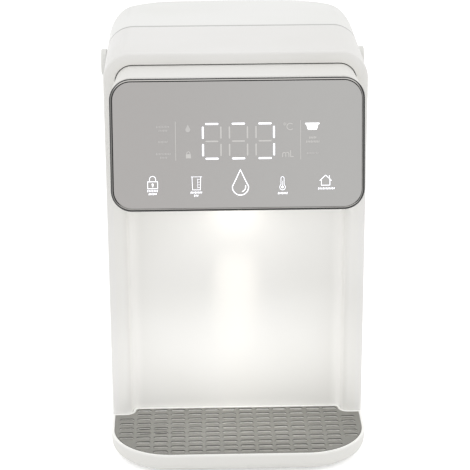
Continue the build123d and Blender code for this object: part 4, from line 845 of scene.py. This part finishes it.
class MarkSheet:
    # Flat shapes on the panel, gathered into one piece. Their places count from the sheet's start.
    def __init__(self, lift):
        self.mesh = bmesh.new()
        self.lift = lift
        self.start = (0.0, 0.0)

    def corners(self, places):
        left, foot = self.start
        return [self.mesh.verts.new(onPanel(left + x, foot + y, self.lift)) for x, y in places]

    def area(self, outline):
        self.mesh.faces.new(self.corners(outline))

    def stroke(self, points, width, closed=False):
        sides = strokeSides(points, width, closed)
        if closed:
            rows = [self.corners(pair) for pair in sides]
            for (left, right), (nextLeft, nextRight) in zip(rows, rows[1:] + rows[:1]):
                self.mesh.faces.new((left, right, nextRight, nextLeft))
            return
        startTurn = math.degrees(math.atan2(points[1][1] - points[0][1], points[1][0] - points[0][0]))
        endTurn = math.degrees(math.atan2(points[-1][1] - points[-2][1], points[-1][0] - points[-2][0]))
        outline = [right for left, right in sides]
        outline += arc(*points[-1], width / 2, endTurn - 90, endTurn + 90, 8)[1:-1]
        outline += [left for left, right in reversed(sides)]
        outline += arc(*points[0], width / 2, startTurn + 90, startTurn + 270, 8)[1:-1]
        self.area(outline)

    def piece(self, name, material):
        for face in self.mesh.faces:
            face.normal_update()
            if face.normal.dot(panelOutward) < 0:
                face.normal_flip()
        mesh = bpy.data.meshes.new(name)
        self.mesh.to_mesh(mesh)
        self.mesh.free()
        made = addPiece(name, mesh, bodyOf["display_panel"], material)
        thick = made.modifiers.new("thickness", "SOLIDIFY")
        thick.thickness = panel["markThickness"] * mm
        thick.offset = 1.0


# Three digits of seven segments: where their middle lies, their size, and how long and thick a segment is.
digits = {"middle": 0.6, "rise": 2.6, "pitch": 18.6, "width": 12.6, "height": 24.4, "level": 9.2,
          "upright": 8.6, "litStroke": 1.2, "unlitStroke": 1.1, "halo": 0.35}
# Where a segment's middle lies, in half widths and half heights of a digit.
segments = {"top": (0, 1), "middle": (0, 0), "bottom": (0, -1), "upperLeft": (-1, 0.5),
            "lowerLeft": (-1, -0.5), "upperRight": (1, 0.5), "lowerRight": (1, -0.5)}
litSegments = ({"top", "bottom", "upperLeft", "lowerLeft"}, {"top", "bottom"},
               {"top", "bottom", "upperRight", "lowerRight"})


def segmentLine(column, segment):
    aside, up = segments[segment]
    x = digits["middle"] + (column - 1) * digits["pitch"] + aside * digits["width"] / 2
    y = digits["rise"] + up * digits["height"] / 2
    if aside:
        half = digits["upright"] / 2
        return [(x, y - half), (x, y + half)]
    half = digits["level"] / 2
    return [(x - half, y), (x + half, y)]


def shorten(line, width):
    # Pulls the ends of a straight stroke in, so that its round ends stay inside its length.
    start, end = Vector(line[0]), Vector(line[1])
    way = (end - start).normalized() * (width / 2)
    return [tuple(start + way), tuple(end - way)]


def drawDigits(lit, halo, unlit):
    bright, dim = digits["litStroke"], digits["unlitStroke"]
    for column, shining in enumerate(litSegments):
        for segment in segments:
            line = segmentLine(column, segment)
            if segment in shining:
                lit.stroke(shorten(line, bright), bright)
                halo.stroke(shorten(line, bright), bright + digits["halo"])
            else:
                unlit.stroke(shorten(line, dim), dim)


def dropOutline(across, top, height, width, steps=16):
    # A water drop: a round belly and two sides that meet in a point at the top.
    radius = width / 2
    belly = top - height + radius
    reach = height - radius
    spread = 0.2 * math.degrees(math.asin(radius / reach))
    swell, level = radius * 0.55, belly + reach * 0.45
    around = arc(across, belly, radius, 180 - spread, 360 + spread, steps)
    return [(across, top), (across - swell, level)] + around + [(across + swell, level)]


drop = {"across": 1.7, "top": -17.6, "height": 18.0, "width": 11.4, "stroke": 0.55, "glint": 0.5}


def drawDrop(lit, halo):
    outline = dropOutline(drop["across"], drop["top"], drop["height"], drop["width"])
    lit.stroke(outline, drop["stroke"], closed=True)
    halo.stroke(outline, drop["stroke"] + panel["halo"], closed=True)
    lit.stroke(arc(drop["across"], drop["top"] - 12.0, 3.7, -70, 12, 8), drop["glint"])


def drawPadlock(sheet, stroke, size=7.0):
    # Body, shackle and keyhole; size is the width of the body.
    half, tall = size / 2, size * 0.7
    sheet.stroke([(-half, -tall), (half, -tall), (half, 0), (-half, 0)], stroke, closed=True)
    reach, foot = half * 0.62, stroke / 2
    bend = arc(0, size * 0.24, reach, 0, 180, 10)
    sheet.stroke([(reach, foot)] + bend + [(-reach, foot)], stroke)
    sheet.area(arc(0, -tall * 0.4, size * 0.1, 0, 360, 12)[:-1])
    sheet.stroke([(0, -tall * 0.45), (0, -tall * 0.72)], size * 0.1)


def drawGlass(sheet, stroke):
    # A measuring glass with its marks.
    sheet.stroke([(-3.4, 0), (-3.1, -9.2), (2.4, -9.2), (2.7, 0)], stroke)
    sheet.stroke([(-4.0, 0), (3.6, 0)], stroke * 0.8)
    for level in (-1.8, -3.7, -5.6, -7.5):
        sheet.stroke([(0.9, level), (2.1, level)], stroke * 0.65)
    sheet.stroke([(0.5, -1.4), (0.5, -8.0)], stroke * 0.65)


def drawThermometer(sheet, stroke):
    bulb = -7.4
    sheet.stroke(arc(0, -1.1, 1.1, 0, 180, 8) + arc(0, bulb, 2.0, 123, 417, 18), stroke, closed=True)
    sheet.area(arc(0, bulb, 0.8, 0, 360, 14)[:-1])
    sheet.stroke([(0, bulb), (0, -3.0)], stroke * 0.7)


def drawHouse(sheet, stroke):
    sheet.stroke([(-4.1, -3.8), (0, 0), (4.1, -3.8)], stroke)
    sheet.stroke([(-3.0, -3.0), (-3.0, -7.1), (3.0, -7.1), (3.0, -3.0)], stroke)
    sheet.stroke([(2.6, -0.5), (2.6, -1.6)], stroke * 1.3)


def drawTub(sheet, stroke):
    # A filled basin with its rim and foot.
    sheet.stroke([(-4.6, 0), (4.6, 0)], stroke)
    left = [(-4.1, -0.5), (-3.4, -3.3), (-3.0, -4.3)]
    sheet.area(left + [(-x, y) for x, y in reversed(left)])


# Captions are rows of slanting dashes that spell nothing, each row from left to right at a level.
dash = {"pitch": 1.05, "half": 0.42, "tallHalf": 0.55, "slant": 0.12, "lit": 0.476, "unlit": 0.66,
        "faint": 0.5}
labelBars = ((-64.0, -56.2, -31.9), (-63.0, -57.2, -34.1), (-33.6, -25.2, -33.4), (-31.2, -27.8, -35.6),
             (27.9, 34.9, -34.6), (56.2, 68.2, -31.6))
unlitBars = ((50.1, 55.3, 4.5), (47.8, 57.6, 1.6))
faintBars = ((-57.1, -47.7, 13.2), (-55.4, -49.0, 10.5), (-56.0, -49.0, 2.5), (-57.5, -46.9, -5.9),
             (-54.6, -49.4, -8.5), (48.4, 56.8, -6.5))


def drawDashes(sheet, rows, stroke):
    for left, right, level in rows:
        count = max(2, round((right - left) / dash["pitch"]))
        for index in range(count):
            x = left + (right - left) * (index + 0.5) / count
            half = dash["half"] if index % 3 else dash["tallHalf"]
            sheet.stroke([(x - dash["slant"], level - half), (x + dash["slant"], level + half)], stroke)


def drawCelsius(sheet, stroke):
    sheet.stroke(arc(33.2, 14.2, 0.75, 0, 360, 14)[:-1], stroke * 0.8, closed=True)
    sheet.stroke(arc(36.9, 12.4, 2.3, 48, 312, 14), stroke)


def drawMillilitres(sheet, stroke):
    # The second arch starts where it only touches the first: faces that lie in each other come out dark.
    foot, top, half = -8.8, -5.8, 1.1
    start, level = 31.5, top - half
    first = [(start, foot)] + arc(start + half, level, half, 180, 0, 8) + [(start + 2 * half, foot)]
    sheet.stroke(first, stroke)
    sheet.stroke(arc(start + 3 * half, level, half, 128, 0, 8) + [(start + 4 * half, foot)], stroke)
    sheet.stroke([(37.1, -4.4), (37.1, foot), (39.0, foot)], stroke)


def drawSmallLock(sheet, stroke):
    sheet.area([(-36.4, -9.2), (-32.8, -9.2), (-32.8, -6.2), (-36.4, -6.2)])
    bend = arc(-34.6, -5.6, 1.1, 180, 0, 8)
    sheet.stroke([(-35.7, -6.2), (-35.7, -5.6)] + bend + [(-33.5, -6.2)], stroke)


def drawDividers(sheet, stroke):
    for across in (-43.5, 44.2):
        sheet.stroke([(across, 16.6), (across, -10.7)], stroke)


# The marks that start at a place of their own and the unlit ones, each with the width of its strokes.
touchMarks = ((drawPadlock, (-60.0, -25.4), 0.36), (drawGlass, (-28.9, -22.3), 0.28),
              (drawThermometer, (31.3, -22.9), 0.28), (drawHouse, (61.7, -22.2), 0.36))
tubMark = {"start": (52.4, 14.3), "stroke": 1.0}
unlitMarks = ((drawCelsius, 0.58), (drawMillilitres, 0.64), (drawSmallLock, 0.5), (drawDividers, 0.45))


def controlMarks():
    # The lit marks lie over their halo, and all the others straight on the glass.
    lit = MarkSheet(panel["markLift"] * 2)
    halo, unlit, faint = [MarkSheet(panel["markLift"]) for sheet in range(3)]
    drawDigits(lit, halo, unlit)
    drawDrop(lit, halo)
    for sheet, more in ((lit, 0.0), (halo, panel["halo"])):
        for draw, start, stroke in touchMarks:
            sheet.start = start
            draw(sheet, stroke + more)
        sheet.start = (0.0, 0.0)
        drawDashes(sheet, labelBars, dash["lit"] + more)
    lit.start = tubMark["start"]
    drawTub(lit, tubMark["stroke"])
    drawDashes(unlit, unlitBars, dash["unlit"])
    drawDashes(faint, faintBars, dash["faint"])
    for draw, stroke in unlitMarks:
        draw(unlit, stroke)
    faint.area(dropOutline(-34.8, 14.6, 5.4, 3.6, 12))
    lit.piece("lit_marks", marks["lit marks"])
    halo.piece("lit_halo", marks["lit halo"])
    unlit.piece("unlit_marks", marks["unlit segments"])
    faint.piece("faint_marks", marks["faint marks"])


print("panel marks")
controlMarks()


# Camera: where the photograph was taken from, in metres from the front frame's rim, and its long lens.
cameraView = {"side": -0.0326, "beforeRim": 1.2354, "height": 0.6239, "yaw": 1.46, "pitch": 20.51,
              "roll": -0.26, "lens": 136.85}


def aimCamera():
    data = bpy.data.cameras.new("camera")
    camera = newObject("camera", data)
    data.lens = cameraView["lens"]
    data.sensor_width = 36.0
    data.clip_start, data.clip_end = 0.05, 50.0
    turned = Matrix.Rotation(math.radians(-cameraView["yaw"]), 4, "Z")
    tipped = Matrix.Rotation(math.radians(90 - cameraView["pitch"]), 4, "X")
    rolled = Matrix.Rotation(math.radians(cameraView["roll"]), 4, "Z")
    place = (cameraView["side"], rim - cameraView["beforeRim"], cameraView["height"])
    camera.matrix_world = Matrix.Translation(place) @ turned @ tipped @ rolled
    bpy.context.scene.camera = camera


# Light: a bright even room, lamps above the front and the back and a soft one each side.
roomLight = {"world": 0.955, "floorSize": 6.0, "floorGlow": 0.45, "lampAim": (0, 0, 0.15)}
lamps = {
    "front top": {"place": (-0.25, -1.1, 1.7), "size": (1.6, 1.6), "watts": 0.3},
    "left": {"place": (-1.5, -0.5, 0.9), "size": (1.4, 1.4), "watts": 1.0},
    "right": {"place": (1.5, -0.4, 0.9), "size": (1.4, 1.4), "watts": 1.3},
    "back top": {"place": (0.2, 1.2, 1.6), "size": (1.6, 1.6), "watts": 0.2},
}
# Lamps in the cup bay, in metres: where they stand before the front frame's rim and above the counter, how
# high on the splash wall behind it they point, and their size.
bayLamps = {
    "cup lamp": {"before": 0.004, "height": 0.197, "aim": 0.097, "size": (0.030, 0.007), "watts": 0.0034,
                 "spread": 100.0, "colour": (1.0, 0.96, 0.9)},
    "light band": {"before": 0.006, "height": 0.190, "aim": 0.101, "size": (0.028, 0.004), "watts": 0.0016,
                   "spread": 21.0, "colour": (1.0, 0.93, 0.84)},
    "bay top": {"before": 0.030, "height": 0.190, "aim": 0.110, "size": (0.12, 0.03), "watts": 0.0105,
                "spread": 160.0, "colour": (1.0, 1.0, 1.0)},
    "bay foot": {"before": 0.066, "height": 0.075, "aim": 0.035, "size": (0.15, 0.03), "watts": 0.0185,
                 "spread": 120.0, "colour": (1.0, 1.0, 1.0)},
}
bayWall = 0.010


def addLamp(name, lamp, place, aim):
    data = bpy.data.lights.new(name, "AREA")
    data.energy = lamp["watts"]
    data.shape = "RECTANGLE"
    data.size, data.size_y = lamp["size"]
    way = Vector(aim) - Vector(place)
    turned = way.to_track_quat("-Z", "Y").to_matrix().to_4x4()
    newObject(name, data).matrix_world = Matrix.Translation(place) @ turned
    return data


def lightStudio():
    for name, lamp in lamps.items():
        addLamp(name, lamp, lamp["place"], roomLight["lampAim"])
    for name, lamp in bayLamps.items():
        place = (0, rim - lamp["before"], lamp["height"])
        data = addLamp(name, lamp, place, (0, rim + bayWall, lamp["aim"]))
        data.spread = math.radians(lamp["spread"])
        data.color = lamp["colour"]


def seenRays(flow):
    # One for what the camera sees, also in a mirror or through glass.
    camera, mirror, glass = [flow.add("ShaderNodeLightPath", out=ray)
                             for ray in ("Is Camera Ray", "Is Glossy Ray", "Is Transmission Ray")]
    return camera.atLeast(mirror).atLeast(glass)


def whiteRoom():
    world = bpy.data.worlds.new("pale room")
    bpy.context.scene.world = world
    world.use_nodes = True
    world.node_tree.nodes.clear()
    flow = Flow(world.node_tree)
    strength = roomLight["world"] + seenRays(flow) * (1.0 - roomLight["world"])
    backdrop = flow.add("ShaderNodeBackground", None, {"Color": (1, 1, 1, 1), "Strength": strength})
    flow.add("ShaderNodeOutputWorld", None, {"Surface": backdrop})


def paleFloor():
    mesh = bpy.data.meshes.new("floor")
    half = roomLight["floorSize"] / 2
    corners = [(-half, -half, 0), (half, -half, 0), (half, half, 0), (-half, half, 0)]
    mesh.from_pydata(corners, [], [(0, 1, 2, 3)])
    floor = newObject("floor", mesh)
    material, flow, place = newMaterial("pale floor")
    grain = noise(place, 8.0, 2.0)
    colour = blend(grain, srgb(250, 250, 250), srgb(247, 247, 247))
    matte = flow.add("ShaderNodeBsdfPrincipled", None,
                     {"Base Color": colour, "Roughness": 0.8, "Specular IOR Level": 0.1})
    shine = seenRays(flow) * roomLight["floorGlow"]
    glow = flow.add("ShaderNodeEmission", None, {"Color": (1, 1, 1, 1), "Strength": shine})
    both = flow.add("ShaderNodeAddShader", None, {0: matte, 1: glow})
    flow.add("ShaderNodeOutputMaterial", None, {"Surface": both})
    mesh.materials.append(material)


print("camera and light")
aimCamera()
lightStudio()
whiteRoom()
paleFloor()
bpy.context.scene.view_settings.view_transform = "Standard"

print("done")
